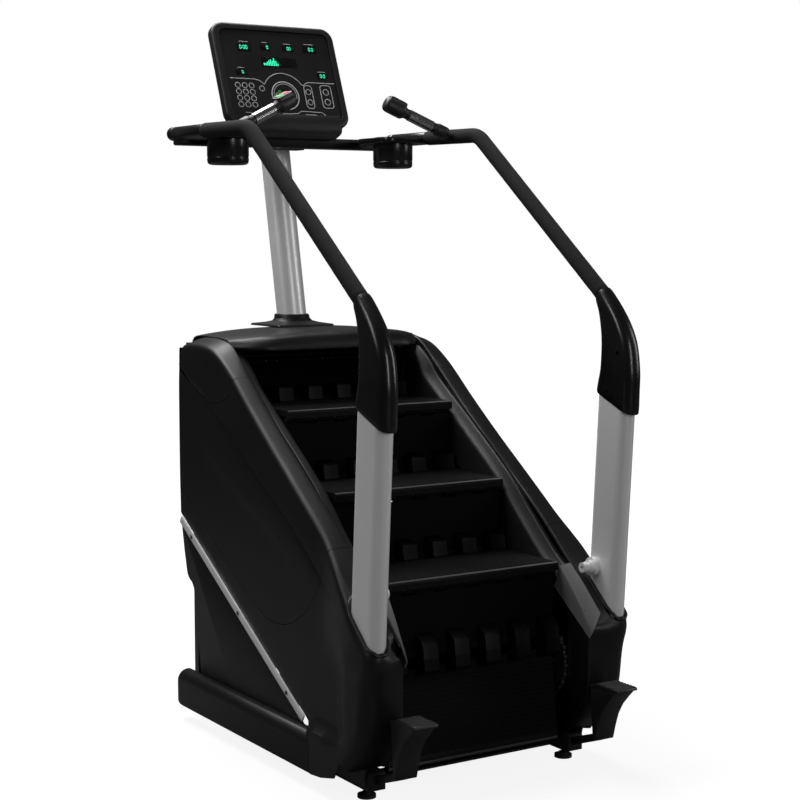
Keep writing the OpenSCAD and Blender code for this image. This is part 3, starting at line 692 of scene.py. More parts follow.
def bright_strip(name):
    dy, dz = STRIP[1][0] - STRIP[0][0], STRIP[1][1] - STRIP[0][1]
    n = math.hypot(dy, dz)
    uy, uz = dy / n, dz / n
    section = [(-12.5, -2), (-12.5, 0.6), (-11, 1.8), (-6, 2.5), (6, 2.5), (11, 1.8), (12.5, 0.6),
               (12.5, -2)]
    rings = []
    for s, t in ((0.2, 0.9), (2.5, 1.0), (n - 2.5, 1.0), (n - 0.2, 0.9)):
        rings.append([place(PANEL_X + h, STRIP[0][0] + uy * s - uz * w * t,
                            STRIP[0][1] + uz * s + uy * w * t)
                      for w, h in section])
    return tube(name, rings, 25)


both_sides(bright_strip, "bright_strip", "bright_strip", ["side_strips"])


def base_skirt(name):
    """A rounded bar along the foot, fuller at its upper edge, with a rounded rear end."""
    half = []
    for k in range(13):
        a = math.radians(90 * k / 12)
        half.append((SKIRT_X - 34 + 34 * math.sin(a), 154 - 34 * (1 - math.cos(a))))
    for k in range(9):
        a = math.radians(90 * k / 8)
        half.append((SKIRT_X - 14 + 14 * math.cos(a), 54 - 14 * math.sin(a)))
    half += [(392, 40), (391, 60), (391, 150), (392, 154)]
    mid = (409, 97)
    rings = []
    for y, t in ((617, 0.80), (616, 0.87), (612, 0.94), (605, 0.985), (594, 1), (-197, 1), (-198, 0.985)):
        rings.append([place(mix(mid[0], x, t), y, mix(mid[1], z, t)) for x, z in half])
    return tube(name, rings)


both_sides(base_skirt, "base_skirt", "cover_plastic", ["base_skirts"])

INNER_EDGE = [(648, 1128), (560, 1127), (490, 1121), (440, 1134), (395, 1116), (348, 1080), (300, 1034),
              (151, 934), (-61, 786), (-173, 684), (-291, 582), (-359, 541)]
inner_edge = spline(INNER_EDGE, 16)


def strip_along(name, line, section):
    """A thin strip swept along a [y, z] line. The section is x and the depth under the line."""
    rows = []
    for i, (y, z) in enumerate(line):
        a, b = line[max(i - 1, 0)], line[min(i + 1, len(line) - 1)]
        n = math.hypot(b[0] - a[0], b[1] - a[1])
        ny, nz = -(b[1] - a[1]) / n, (b[0] - a[0]) / n
        rows.append([place(x, y + ny * d, z + nz * d) for x, d in section])
    return shell(name, rows, 3, 40)


INNER_SECTION = [(324.4, -7), (323.8, -0.6), (321, 1.8), (317, 2.6), (306, 4.2), (296, 7.0), (289, 11),
                 (286, 16), (285, 22), (285, 60), (285, 118)]


def inner_wall(name):
    return strip_along(name, inner_edge, INNER_SECTION)


both_sides(inner_wall, "inner_wall", "inner_plastic", ["inner_walls"])

ENTRY_TOP = ((325.2, -361, 564), (285.2, -361, 560))
ENTRY_TIP = ((325.2, -491, 443), (300, -487, 389))


def entry_trim(name):
    """A flat facet that widens the way in, from the inner wall down to a point on the pillar's rim."""
    rows = []
    for k in range(13):
        t = k / 12
        outer, inner = [[mix(a, b, t) for a, b in zip(ENTRY_TOP[i], ENTRY_TIP[i])] for i in (0, 1)]
        row = [(outer[0], outer[1] + 4, outer[2] - 9), (outer[0] - 0.2, outer[1] + 0.8, outer[2] - 1.2)]
        swell = 4.8 * smooth(t / 0.5)
        for u in (0.03, 0.35, 0.65, 0.97):
            x, y, z = [mix(a, b, u) for a, b in zip(outer, inner)]
            row.append((x, y - 0.7 * swell, z + 0.7 * swell))
        row += [(inner[0], inner[1] + 1.5, inner[2] - 1.5), (inner[0], inner[1] + 6, inner[2] - 9),
                (inner[0], inner[1] + mix(34, 10, t), inner[2] - mix(56, 14, t))]
        rows.append([place(*p) for p in row])
    return shell(name, rows, 2.6, 40)


both_sides(entry_trim, "entry_trim", "trim_plastic", ["entry_trims"])


# ---------------------------------------------------------------- hood and rear cover
HOOD_HALF = 325.0


def crown(x):
    """Height of the hood's skin across the machine."""
    return HOOD_TOP - 20 * (abs(x) / HOOD_HALF) ** 2.6


def make_hood(name):
    """The crowned top cover with its front beam, whose ends curve back to meet the side bands."""
    rows = []
    for k in range(61):
        x = -HOOD_HALF + 650 * k / 60
        top = crown(x)
        end = max(0.0, (abs(x) - 215) / 110)
        front = 345 + 88 * end ** 2.2
        low = 1133.6 + 4 * end
        lip = [(12, low + 3), (5, low), (1, low + 3), (0, low + 8)]
        lip += [(3, mix(low, top, 0.32)), (8, mix(low, top, 0.5)), (15, mix(low, top, 0.68)),
                (25, mix(low, top, 0.84)),
                (38, top - 5), (58, top - 2.2), (95, top - 0.6)]
        back = [(560, top), (640, top - 1), (668, top - 3), (684, top - 9), (694, top - 19),
                (698, top - 34), (698, 1131)]
        row = [(front + dy, z) for dy, z in lip] + [(mix(front + 95, 560, t), top - 0.6 * (1 - t))
                                                    for t in (0.35, 0.7)]
        rows.append([place(x, y, z) for y, z in row + back])
    return shell(name, rows, 4, 50)


dress(make_hood("hood_cover"), "cover_plastic", replaces=["hood"])
for side in ("left_", "right_"):
    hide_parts("hood")


def make_rear_cover(name):
    profile = spline([(648, 1134), (690, 1130), (735, 1112), (778, 1078), (800, 1030), (805, 960),
                      (805, 760), (800, 700), (772, 620), (735, 552), (695, 500), (662, 470),
                      (652, 458)], 18)
    rows = []
    for y, z in profile:
        reach = y - 652
        row = []
        for k in range(49):
            u = -1 + 2 * k / 48
            half = 389 - 80 * smooth((690 - z) / 90)
            x = half * math.copysign(1 - (1 - abs(u)) ** 1.15, u)
            side = max(0.0, (abs(x) - half + 140) / 142)
            row.append(place(x, 652 + reach * max(0.0, 1 - side ** 2.4), z))
        rows.append(row)
    obj = shell(name, rows, 3.5, 60, 45, axis=1)
    lower = prism("lower_rear", [(656, 95), (660, 95), (660, 462), (656, 462)], -300, 300, 1.2, 2)
    ribs = []
    for k in range(5):
        z = 200 + 26 * k
        ribs.append(prism("rib", [(660, z), (663.5, z + 2), (663.5, z + 9), (660, z + 11)], -150, 150,
                          0.8, 2))
    return joined(name, [obj, lower] + ribs)


dress(make_rear_cover("rear_housing"), "cover_plastic", replaces=["rear_cover"])


MAST_FOOT, MAST_LEAN = (640, 1163), math.radians(11.3)


def along_mast(h):
    """The point of the mast's middle line at h above its foot, as [y, z]."""
    return MAST_FOOT[0] + math.sin(MAST_LEAN) * h, MAST_FOOT[1] + math.cos(MAST_LEAN) * h


def make_collar(name):
    rings = []
    for size, r, z in ((200, 8, 1190.4), (200, 8, 1193.5), (196, 10, 1196.5), (150, 40, 1201),
                       (124, 55, 1206), (110, 54.9, 1214), (108, 53.9, 1222), (104, 51.9, 1226),
                       (95, 47.4, 1227)):
        base = (z - MAST_FOOT[1]) * math.tan(MAST_LEAN)
        rings.append([place(u, MAST_FOOT[0] + mix(10, base, smooth((z - 1192) / 16)) + v, z)
                      for u, v in round_rect(size, size * (0.95 if size > 120 else 1),
                                             min(r, size * 0.47))])
    return tube(name, rings, 30)


dress(make_collar("mast_collar_cover"), "cover_plastic", replaces=["mast_collar"])

# ---------------------------------------------------------------- rails
SLEEVE_Z = 1776
RAIL_START, RAIL_BEND, FOAM_END = (-413, 1313), (189, 1773), (463, SLEEVE_Z)


def tube_path(start, bend, end, bend_r, spacing):
    """Points and headings of a line with one round bend, in [y, z]."""
    a0 = math.atan2(bend[1] - start[1], bend[0] - start[0])
    a1 = math.atan2(end[1] - bend[1], end[0] - bend[0])
    reach = bend_r * math.tan((a0 - a1) / 2)
    u0, u1 = (math.cos(a0), math.sin(a0)), (math.cos(a1), math.sin(a1))
    p0 = (bend[0] - reach * u0[0], bend[1] - reach * u0[1])
    p1 = (bend[0] + reach * u1[0], bend[1] + reach * u1[1])
    path = [(p, a0) for p in resample([start, p0], spacing)]
    centre = (p0[0] + bend_r * u0[1], p0[1] - bend_r * u0[0])
    for k in range(1, 10):
        a = a0 + (a1 - a0) * k / 10
        path.append(((centre[0] - bend_r * math.sin(a), centre[1] + bend_r * math.cos(a)), a))
    path += [(p, a1) for p in resample([p1, end], spacing)]
    return path


def foam_grip(name):
    rings = []
    path = tube_path(RAIL_START, RAIL_BEND, FOAM_END, 90, 9)
    count = len(path)
    for i, ((y, z), a) in enumerate(path):
        inset = 3.0 * max(0.0, 1 - min(i, count - 1 - i) / 1.0)
        ring = []
        for u, v in circle_points(1, 40):
            wobble = 0.25 * noise.noise(Vector((u * 1.3, v * 1.3, i * 0.33)))
            r = 22.4 - inset + wobble
            ring.append(place(RAIL_X + u * r, y - math.sin(a) * v * r, z + math.cos(a) * v * r))
        rings.append(ring)
    return tube(name, rings, 50)


both_sides(foam_grip, "foam_grip", "foam", ["foam_grips"])

ELBOW = [(-479, 1021, 22.4, 56, 158), (-483, 1062, 12, 57, 145), (-488, 1110, 0, 58, 134),
         (-484, 1170, -11, 56, 122), (-471, 1215, -23, 54, 103), (-452, 1254, -36, 52.5, 82),
         (-433, 1286, -47, 51, 64), (-413, 1313, -52.6, 49, 52)]


def elbow(name):
    stations = spline(ELBOW, 7)
    rings = []
    last = len(stations) - 1
    for i, (y, z, tilt, w, d) in enumerate(stations):
        t = math.radians(tilt)
        shrink = {0: 2.6, 1: 0.7, last - 1: 0.5, last: 2.2}.get(i, 0)
        ring = []
        for u, v in round_rect(w - shrink, d - shrink, min(w, d) / 2 * 0.93 - shrink / 2, 9):
            ring.append(place(RAIL_X + u, y + v * math.cos(t), z + v * math.sin(t)))
        rings.append(ring)
    obj = tube(name, rings, 40)
    for y, z, r, depth in ((-509, 1158, 5.5, 9), (-466, 1052, 3.6, 6), (-434, 1272, 3.6, 6)):
        obj = cut(obj, tube("hole_tool", [[place(RAIL_X + x, y + u, z + v)
                                           for u, v in circle_points(r, 20)]
                                           for x in (-40, -29 + depth)]))
    return obj


both_sides(elbow, "elbow_cover", "gloss_black", ["elbow_covers"])


def rail_frame(name):
    parts = []
    for side in (-1, 1):
        rings = []
        for y, r in ((463.8, 18), (464.2, 20), (466, 20.5), (655, 20.5), (656.5, 19.6), (658, 20.5),
                     (680, 20.5), (684, 19.4), (685.8, 16)):
            rings.append([place(side * RAIL_X + u, y, SLEEVE_Z + v) for u, v in circle_points(r, 40)])
        parts.append(tube("sleeve", rings, 30))
    parts.append(prism("crossbar", [(636, 1742), (684, 1742), (684, 1775), (636, 1775)], -RAIL_X, RAIL_X,
                       6, 4))
    bracket = prism("bracket", [(682, 1739), (738, 1739), (738, 1777), (682, 1777)], -69, 69, 5, 3)
    rings = []
    for h in (500, 680):
        y, z = along_mast(h)
        rings.append([place(u, y + v, z) for u, v in circle_points(46.6, 48)])
    parts.append(cut(bracket, tube("mast_tool", rings)))
    return joined(name, parts)


dress(rail_frame("rail_frame_cover"), "gloss_black", replaces=["handrail_frame"])


CUP_X, CUP_Y = 289, 513


def cup_holder(name):
    """A cup that hangs through a tray, with a shallow pocket behind it."""
    rings = []
    for z, grow in ((1757, -4), (1758, -1.2), (1760, 0), (1771, 0), (1774, -1.5), (1775, -5)):
        rings.append([place(CUP_X + u, CUP_Y + 13 + v, z)
                      for u, v in round_rect(148 + 2 * grow, 196 + 2 * grow, 30 + grow, 8)])
    tray = tube("tray", rings, 30)
    tray = cut(tray, tube("well_tool", [[place(CUP_X + u, CUP_Y + v, z)
                                         for u, v in circle_points(54.5, 64)]
                                        for z in (1700, 1800)]))
    tray = cut(tray, tube("pocket_tool", [[place(CUP_X + u, CUP_Y + 90 + v, z)
                                           for u, v in round_rect(118 + s, 26 + s, 11)]
                                           for z, s in ((1764, -2), (1800, 8))]))
    profile = [(0, 1681), (50, 1681), (56, 1682.5), (60, 1686), (61.6, 1692), (61.9, 1700), (60.6, 1702),
               (60.6, 1704), (62, 1706), (62, 1756), (59, 1760), (59, 1774), (57.5, 1777), (55, 1777.5),
               (53, 1775.5), (52.2, 1771), (52, 1692), (50, 1687), (46, 1685.4), (0, 1685.4)]
    well = turned("well", [[place(CUP_X + r * c, CUP_Y + r * s, z) for r, z in profile]
                           for c, s in circle_points(1, 64)])
    arm = prism("arm", [(604, 1759), (634, 1759), (634, 1774), (604, 1774)], 262, 318, 3, 3)
    return joined(name, [tray, well, arm])


both_sides(cup_holder, "cup_holder", "gloss_black", ["cup_holders"])

GRIP = (Matrix.Translation(place(343, 311, 1785)) @ Matrix.Rotation(math.radians(168), 4, "Z")
        @ Matrix.Rotation(math.radians(65.7), 4, "Y"))
GRIP_LENGTH, KEY_OFFSET = 172, 11.5


def in_grip(x, y, h):
    """A point of the right grip: across it, and along it from its foot."""
    return GRIP @ (Vector((x, y, h)) * MM)


def key_pocket(k):
    """The well that a key sinks into when it is pressed."""
    return tube("key_pocket", [[in_grip(-x, u, GRIP_LENGTH + k * KEY_OFFSET + v)
                                for u, v in round_rect(27, 21, 3.4)] for x in (20.5, 40)])


def heart_grip(name):
    profile = [(0, -14), (14, -14), (18, -12), (20, -7), (20, 20), (19, 25), (16.5, 29), (16, 33),
               (16, 39.5), (13.8, 40.2), (13.8, 123.5), (16, 124.4), (16, 134), (17, 138), (21, 142),
               (23.4, 146), (24, 152), (24, 192), (23.2, 199), (21, 204), (17, 207.5), (10, 209),
               (0, 209.3)]
    obj = turned(name, [[in_grip(r * c, r * s, h) for r, h in profile] for c, s in circle_points(1, 48)])
    paddle = tube("paddle", [[in_grip(-x, u, GRIP_LENGTH + v) for u, v in round_rect(39 - g, 60 - g, 9)]
                             for x, g in ((6, 0), (22, 0), (25.2, 1.5), (26, 4))], 30)
    for k in (-1, 1):
        obj = cut(obj, key_pocket(k), angle=30)
        paddle = cut(paddle, key_pocket(k), angle=30)
    return joined(name, [obj, paddle])


def grip_keycap(name, k):
    return tube(name, [[in_grip(-x, u, GRIP_LENGTH + k * KEY_OFFSET + v)
                        for u, v in round_rect(26 - g, 20 - g, 3)]
                       for x, g in ((22.6, 0), (26.6, 0), (27.6, 1), (28, 3), (27.4, 9))], 30)


for colour, k in (("green", -1), ("red", 1)):
    cap = grip_keycap("right_%s_keycap" % colour, k)
    twin = mirrored(cap, "left_%s_keycap" % colour)
    for side, piece in (("right", cap), ("left", twin)):
        dress(piece, colour + "_key", "%s_%s_button" % (side, colour), ["%s_%s_key" % (side, colour)])


both_sides(heart_grip, "heart_rate_grip", "grip_plastic", ["heart_rate_grips"])

# ---------------------------------------------------------------- console
CONSOLE = Matrix.Translation(place(0, 648, 1811)) @ Matrix.Rotation(math.radians(-21.5), 4, "X")
FACE_H, FACE_W = 345.0, 434.0


def face(x, z, y=0.0):
    """A point on the console: across, up its face, and behind its face."""
    return CONSOLE @ (Vector((x, y, z)) * MM)


def slab(name, w, h, r, layers):
    """A rounded plate lying in the console's face. Layers are depth behind the face and inset."""
    rings = []
    for y, s in layers:
        corners = round_rect(w - 2 * s, h - 2 * s, max(r - s, 1), 10)
        rings.append([face(u, FACE_H / 2 + v, y) for u, v in corners])
    return tube(name, rings, 30)


def console_back(name):
    case = slab("case", FACE_W, FACE_H, 42, ((10, 1.2), (10.6, 0.2), (12, 0), (26, 0.5), (31, 4),
                                             (33, 9), (33.5, 14)))
    hump = slab("hump", FACE_W - 90, FACE_H - 90, 42, ((30, 0), (46, 1.5), (49, 6), (50, 12)))
    vents = []
    for k in range(6):
        z = 205 + 11 * k
        vents.append(tube("vent", [[face(u, z + v, y) for u, v in round_rect(150 - 2 * s, 5 - 2 * s, 2)]
                                   for y, s in ((49, 0), (51.2, 0.3), (51.8, 1))]))
    block = tube("block", [[face(u, 33 + v, y) for u, v in round_rect(68 - s, 46 - s, 8)]
                           for y, s in ((48, 0), (100, 0), (103, 3), (104, 8))], 30)
    rings = []
    for h, r in ((614.3, 30), (620, 30), (660, 30), (664, 28), (666, 23)):
        y, z = along_mast(h)
        rings.append([place(u, y + v * math.cos(MAST_LEAN), z - v * math.sin(MAST_LEAN))
                      for u, v in circle_points(r, 36)])
    return joined(name, [case, hump, block, tube("neck", rings, 30)] + vents)


dress(console_back("console_back"), "console_plastic", replaces=["console_shell"])


outer = slab("frame", FACE_W, FACE_H, 42, ((9.7, 0.6), (9, 0), (3, 0), (0, 1.2), (-2.4, 4.2),
                                            (-3.7, 8), (-4, 12)))
hole = slab("hole", FACE_W - 46, FACE_H - 46, 25, ((-8, -3), (-3, -0.5), (0.2, 0), (3.8, 0)))
deep = slab("deep", FACE_W - 80, FACE_H - 80, 24, ((2, 0), (20, 0)))
dress(cut(cut(outer, hole), deep, angle=30), "console_plastic", replaces=["console_bezel"])
membrane = slab("membrane", FACE_W - 48, FACE_H - 48, 24, ((3.4, 0), (0.9, 0), (0.5, 0.4)))
dress(membrane, "display", replaces=["display_panel"])


def plate(bm, x0, x1, z0, z1, r, proud=0.5, base=0.4):
    """A small raised plate on the membrane."""
    cx, cz = (x0 + x1) / 2, (z0 + z1) / 2
    add_tube(bm, [[face(cx + u, cz + v, y) for u, v in round_rect(x1 - x0 - s, z1 - z0 - s, r, 5)]
                  for y, s in ((base, 0), (base - proud * 0.8, 0), (base - proud, 0.3))])


def plates(name, boxes, slot="display", look=None):
    """A piece made of plates. A box is x0, x1, z0, z1, its corner radius and how far it stands out."""
    bm = bmesh.new()
    for box in boxes:
        plate(bm, *box)
    dress(from_bmesh(name, bm), slot, look=look)


PRINT_WIDTH = 1.4


def outline_of(bm, points, width, closed=False):
    """A printed line of even width along points of the face."""
    width *= PRINT_WIDTH
    count = len(points)
    rows = []
    for i, (x, z) in enumerate(points):
        a = points[(i - 1) % count] if closed else points[max(i - 1, 0)]
        b = points[(i + 1) % count] if closed else points[min(i + 1, count - 1)]
        n = math.hypot(b[0] - a[0], b[1] - a[1]) or 1
        nx, nz = -(b[1] - a[1]) / n * width / 2, (b[0] - a[0]) / n * width / 2
        rows.append([face(x - nx, z - nz, 0.5), face(x - nx, z - nz, 0.05), face(x + nx, z + nz, 0.05),
                     face(x + nx, z + nz, 0.5)])
    verts = add_grid(bm, rows, close_rows=closed, close_columns=True)
    if not closed:
        bm.faces.new(verts[0])
        bm.faces.new(list(reversed(verts[-1])))


def ring_points(cx, cz, r, count=40, a0=0, a1=360):
    return [(cx + r * math.cos(math.radians(a0 + (a1 - a0) * i / count)),
             cz + r * math.sin(math.radians(a0 + (a1 - a0) * i / count))) for i in range(count)]


DIAL = (2, 103)
WINDOWS = [(-136, -88, 249, 277), (-55, -20, 256, 278), (22, 63, 257, 277), (96, 146, 255, 280),
           (-60, 64, 200, 233), (-158, -118, 168, 187), (130, 171, 166, 186)]
plates("display_windows", [(*window, 3) for window in WINDOWS], look="window_glass")

SEGMENTS = {"a": ((0, 2), (1, 2)), "b": ((1, 1), (1, 2)), "c": ((1, 0), (1, 1)), "d": ((0, 0), (1, 0)),
            "e": ((0, 0), (0, 1)), "f": ((0, 1), (0, 2)), "g": ((0, 1), (1, 1))}
DIGITS = {"0": "abcdef"}
LED_LIFT = (0.35, -0.15)  # how far a lit segment stands out, and from which depth


def digits(bm, text, x, z, h):
    """Seven-segment digits standing on the point x, z of the face."""
    for char in text:
        if char in ".:":
            for dz in ((0.0,) if char == "." else (0.3, 0.65)):
                plate(bm, x, x + h * 0.12, z + h * dz, z + h * (dz + 0.12), h * 0.04, *LED_LIFT)
            x += h * 0.26
            continue
        for seg in DIGITS[char]:
            (ax, az), (bx, bz) = SEGMENTS[seg]
            w = h * 0.07
            dx = w if ax != bx else -w
            dz = w if az != bz else -w
            x0, x1 = x + ax * h * 0.46 + dx, x + bx * h * 0.46 - dx
            z0, z1 = z + az * h / 2 + dz, z + bz * h / 2 - dz
            plate(bm, x0, x1, z0, z1, w * 0.5, *LED_LIFT)
        x += h * 0.72


bm = bmesh.new()
for text, x, z, h in (("0:00", -128, 257, 12), ("0", -33, 261, 11), ("00", 40, 261, 10),
                      ("0.0", 118, 262, 11), ("0", -136, 172, 10), ("0.0", 142, 171, 11)):
    digits(bm, text, x, z, h)
for k, height in enumerate((4, 7, 11, 15, 18, 15, 20, 12, 7)):
    for step in range(int(height / 4) + 1):
        x, z = -54 + 6 * k, 204 + step * 4.4
        plate(bm, x, x + 4, z, z + 3.2, 0.6, *LED_LIFT)
dress(from_bmesh("display_digits", bm), "display", look="led_green")

bm = bmesh.new()
arch = ring_points(*DIAL, 76, 28, 152, 28)
outline_of(bm, [(-184, 155), (-97, 155), (-84, 152), (-74, 146)] + arch
           + [(73, 140), (80, 147), (92, 152), (188, 152)], 1.5)
outline_of(bm, [(-66, 47), (-30, 42), (4, 41), (36, 44), (48, 52), (120, 50), (131, 44), (134, 30)], 1.3)
for x0, x1, z0, z1 in ((73, 101, 63, 141), (132, 171, 66, 144)):
    corner = round_rect(x1 - x0, z1 - z0, 10, 6)
    outline_of(bm, [((x0 + x1) / 2 + u, (z0 + z1) / 2 + v) for u, v in corner], 1.4, True)
for r, w in ((47, 2.2), (40, 1.0)):
    outline_of(bm, ring_points(*DIAL, r, 56), w, True)
KEY_SPOTS = [(-160 + 24 * i, 132 - 21.5 * j, 8.6) for i in range(3) for j in range(4)]
KEY_SPOTS += [(-77, 124, 8.6), (87, 119, 9), (87, 84, 9), (151, 121, 10), (151, 87, 10), (-24, 103, 8),
              (28, 103, 8)]
for x, z, r in KEY_SPOTS:
    outline_of(bm, ring_points(x, z, r, 28), 1.3, True)
for x0, x1, z0, z1 in WINDOWS[:4] + WINDOWS[5:]:
    plate(bm, x0 + 8, x1 - 8, z1 + 4, z1 + 5.6, 0.6, 0.4)
for x, z, w in ((-60, 55, 26), (-150, 40, 20), (60, 40, 40)):
    plate(bm, x, x + w, z, z + 1.4, 0.5, 0.4)
dress(from_bmesh("membrane_print", bm), "display", look="print_white")

bm = bmesh.new()
for x, z, r in KEY_SPOTS:
    add_tube(bm, [[face(x + u, z + v, y) for u, v in circle_points(q, 28)]
                  for y, q in ((0.4, r - 1.6), (-0.5, r - 1.8), (-1.0, r - 2.8))])
for x0, x1, z0, z1 in ((-9, 13, 123, 137), (-9, 13, 71, 84)):
    plate(bm, x0, x1, z0, z1, 4, 1.2)
dress(from_bmesh("membrane_keys", bm), "display")
plates("stop_key", [(-5, 9, 96, 110, 6.5, 1.6)], "red_key")
plates("start_key", [(-22, -12, 112, 120, 3, 1.2), (16, 26, 112, 120, 3, 1.2)], "green_key")
plates("pulse_lamp", [(-76, -70, 38, 44, 2.8, 0.7)], look="led_orange")


def ledge(name):
    outer = [(-5, -46), (-40, -46), (-52, -42), (-58, -32), (-58, 10), (-57, 12), (-52, 12), (-50, 9),
             (-50, -30), (-46, -37), (-38, -38.5), (-5, -38.5)]
    rings = []
    for x, s in ((-146, 3), (-144.5, 0.8), (-141, 0), (141, 0), (144.5, 0.8), (146, 3)):
        rings.append([face(x, mix(z, -30, s * 0.02), y) for y, z in outer])
    parts = [tube("rail", rings, 30)]
    end = [(-5, -45), (-40, -45), (-52, -41), (-57, -32), (-57, 10), (-30, 3), (-5, 11.5)]
    for side in (-1, 1):
        rings = [[face(side * x, z, y) for y, z in end] for x in (139, 144.5)]
        parts.append(rounded(tube("end", rings), 1.4, 2))
    return joined(name, parts)


dress(ledge("book_ledge"), "console_plastic", replaces=["reading_ledge"])

# ---------------------------------------------------------------- foot pegs
def foot_peg(name):
    """A ribbed plate on a bracket that curves down to the leg."""
    parts = [prism("plate", [(-614, 255), (-611, 251), (-520, 250), (-496, 241), (-496, 250),
                             (-522, 260), (-610, 260)],
                   288, 358, 1.2, 2)]
    for k in range(7):
        y = -606 + 12 * k
        parts.append(prism("rib", [(y, 259.5), (y + 1.2, 262), (y + 5, 262), (y + 6.2, 259.5)], 291, 355))
    profile = [(-602, 252), (-497, 252), (-499, 205), (-503, 160), (-507, 122), (-510, 95), (-515, 98),
               (-523, 135), (-536, 172), (-556, 206), (-580, 232)]
    for x in (289, 350):
        parts.append(prism("cheek", profile, x, x + 7, 1.5, 2))
    web = [(-604, 251), (-582, 229), (-558, 203), (-539, 171), (-527, 135), (-517, 97), (-513, 98),
           (-523, 136), (-534, 173), (-553, 206), (-577, 232), (-598, 252)]
    parts.append(prism("web", web, 290, 356, 0.8, 2))
    parts.append(prism("foot_arm", [(-509, 94), (-500, 112), (-385, 72), (-385, 50), (-390, 50)], 313,
                       333, 1.5, 2))
    parts.append(prism("foot_plate", [(-387, 32), (-381, 32), (-381, 78), (-387, 78)], 303, 351, 1.2, 2))
    return joined(name, parts)


both_sides(foot_peg, "foot_peg", "cast_black", ["foot_pegs"])

# ---------------------------------------------------------------- steps
STEP_RUN, STEP_RISE = 264, 203.2
PITCH = math.hypot(STEP_RUN, STEP_RISE)
DOWN = (-STEP_RUN / PITCH, -STEP_RISE / PITCH)
KNUCKLE_PITCH = 100.8
TREAD_W, TREAD_D, KNUCKLE_R, NOSE = 281.0, 300.0, 52.0, (-279.0, -25.0)


def arc(cy, cz, r, a0, a1, steps):
    return [(cy + r * math.cos(math.radians(a0 + (a1 - a0) * k / steps)),
             cz + r * math.sin(math.radians(a0 + (a1 - a0) * k / steps))) for k in range(steps + 1)]


def step_matrix(origin, angle):
    return Matrix.Translation(place(0, *origin)) @ Matrix.Rotation(math.radians(angle), 4, "X")


def add_part(bm, matrix, outline, x0, x1, rim=1.5):
    """An outline of the step, extruded along X with softened rims, carried by the step's matrix."""
    n = len(outline)
    inset = []
    for i, (y, z) in enumerate(outline):
        a, b = outline[i - 1], outline[(i + 1) % n]
        ty, tz = b[0] - a[0], b[1] - a[1]
        m = math.hypot(ty, tz) or 1
        inset.append((y + rim * tz / m, z - rim * ty / m))
    area = sum(a[0] * b[1] - b[0] * a[1] for a, b in zip(outline, outline[1:] + outline[:1]))
    if area < 0:
        inset = [(2 * y - u, 2 * z - v) for (y, z), (u, v) in zip(outline, inset)]
    between = [(mix(a, c, 0.3), mix(b, d, 0.3)) for (a, b), (c, d) in zip(outline, inset)]
    rings = []
    for x, loop in ((x0, inset), (x0 + rim * 0.35, between), (x0 + rim, outline), (x1 - rim, outline),
                    (x1 - rim * 0.35, between), (x1, inset)):
        rings.append([matrix @ (Vector((x, y, z)) * MM) for y, z in loop])
    add_tube(bm, rings)


def plate_outline():
    """The tread's plate: a ribbed top, a rolled nose and a flat underside."""
    front = -TREAD_D + 8
    top = []
    y = front + 18
    while y < -60:
        top += [(y, 0.6), (y + 1.6, 2.9), (y + 7.6, 2.9), (y + 9.2, 0.6)]
        y += 12.6
    return ([(-40, 2.9), (-40, -13), (-TREAD_D + 14, -13), (-TREAD_D + 8, -21), (-TREAD_D + 1, -21),
             (-TREAD_D, -19.5), (-TREAD_D, -6)] + [(front - 8, -5)] + arc(front, -5, 8, 170, 90,
             5)[1:] + [(front + 10, 3),
             (front + 16, 1.2)]
            + top)


def knuckle_outline():
    """A knuckle: a round barrel on the hinge that runs forward into a square-shouldered block."""
    return (arc(0, 0, KNUCKLE_R - 1, -178, 66, 22) + arc(-14, KNUCKLE_R - 13, 9, 66, 100, 4)
            + arc(-42, KNUCKLE_R - 13, 9, 90, 165, 5) + [(-53, 20), (-58, 6), (-64, 2.9), (-64, -12.6)])


def build_tread(bm, matrix):
    outline = list(reversed(plate_outline()))
    add_part(bm, matrix, outline, -TREAD_W + 0.3, TREAD_W - 0.3, 0.8)
    for k in range(6):
        x = (k - 2.5) * KNUCKLE_PITCH
        add_part(bm, matrix, list(reversed(knuckle_outline())), x - 24.8, x + 24.8, 2.2)
    for k in range(-2, 3):
        x = k * KNUCKLE_PITCH
        add_part(bm, matrix, arc(NOSE[0], NOSE[1], 10, 0, 330, 20), x - 15, x + 15, 0.8)


def build_nosing(bm, matrix):
    front = -TREAD_D + 8
    outline = (arc(front, -5, 8.35, 132, 88, 6) + [(front + 2, 3.3), (front + 3.2, 2.4)]
               + [(front + 3.2, 1.0), (front, 1.0), (front - 4, -0.4)])
    add_part(bm, matrix, outline, -TREAD_W + 1, TREAD_W - 1, 0.4)


hinge_record = {j["name"]: j for j in frame["record"]["behaviour"]["joints"]}


def joint_point(name):
    p = hinge_record[name]["pos_m"]
    return (p[1] / MM - SHIFT_Y, p[2] / MM)


H4 = joint_point("bottom_tread_swing")
N4 = joint_point("bottom_riser_swing")
H1 = joint_point("top_riser_swing")
N8 = joint_point("top_tread_swing")
IDLER, DRIVE = joint_point("idler_turn"), joint_point("drive_turn")
H5 = (2 * IDLER[0] - H4[0], 2 * IDLER[1] - H4[1])
H8 = (2 * DRIVE[0] - H1[0], 2 * DRIVE[1] - H1[1])


def along_run(start, k, sign=1):
    return (start[0] + sign * k * PITCH * DOWN[0], start[1] + sign * k * PITCH * DOWN[1])


def swing(hinge, nose):
    return math.degrees(math.atan2(nose[1] - hinge[1], nose[0] - hinge[0]) - math.atan2(NOSE[1], NOSE[0]))


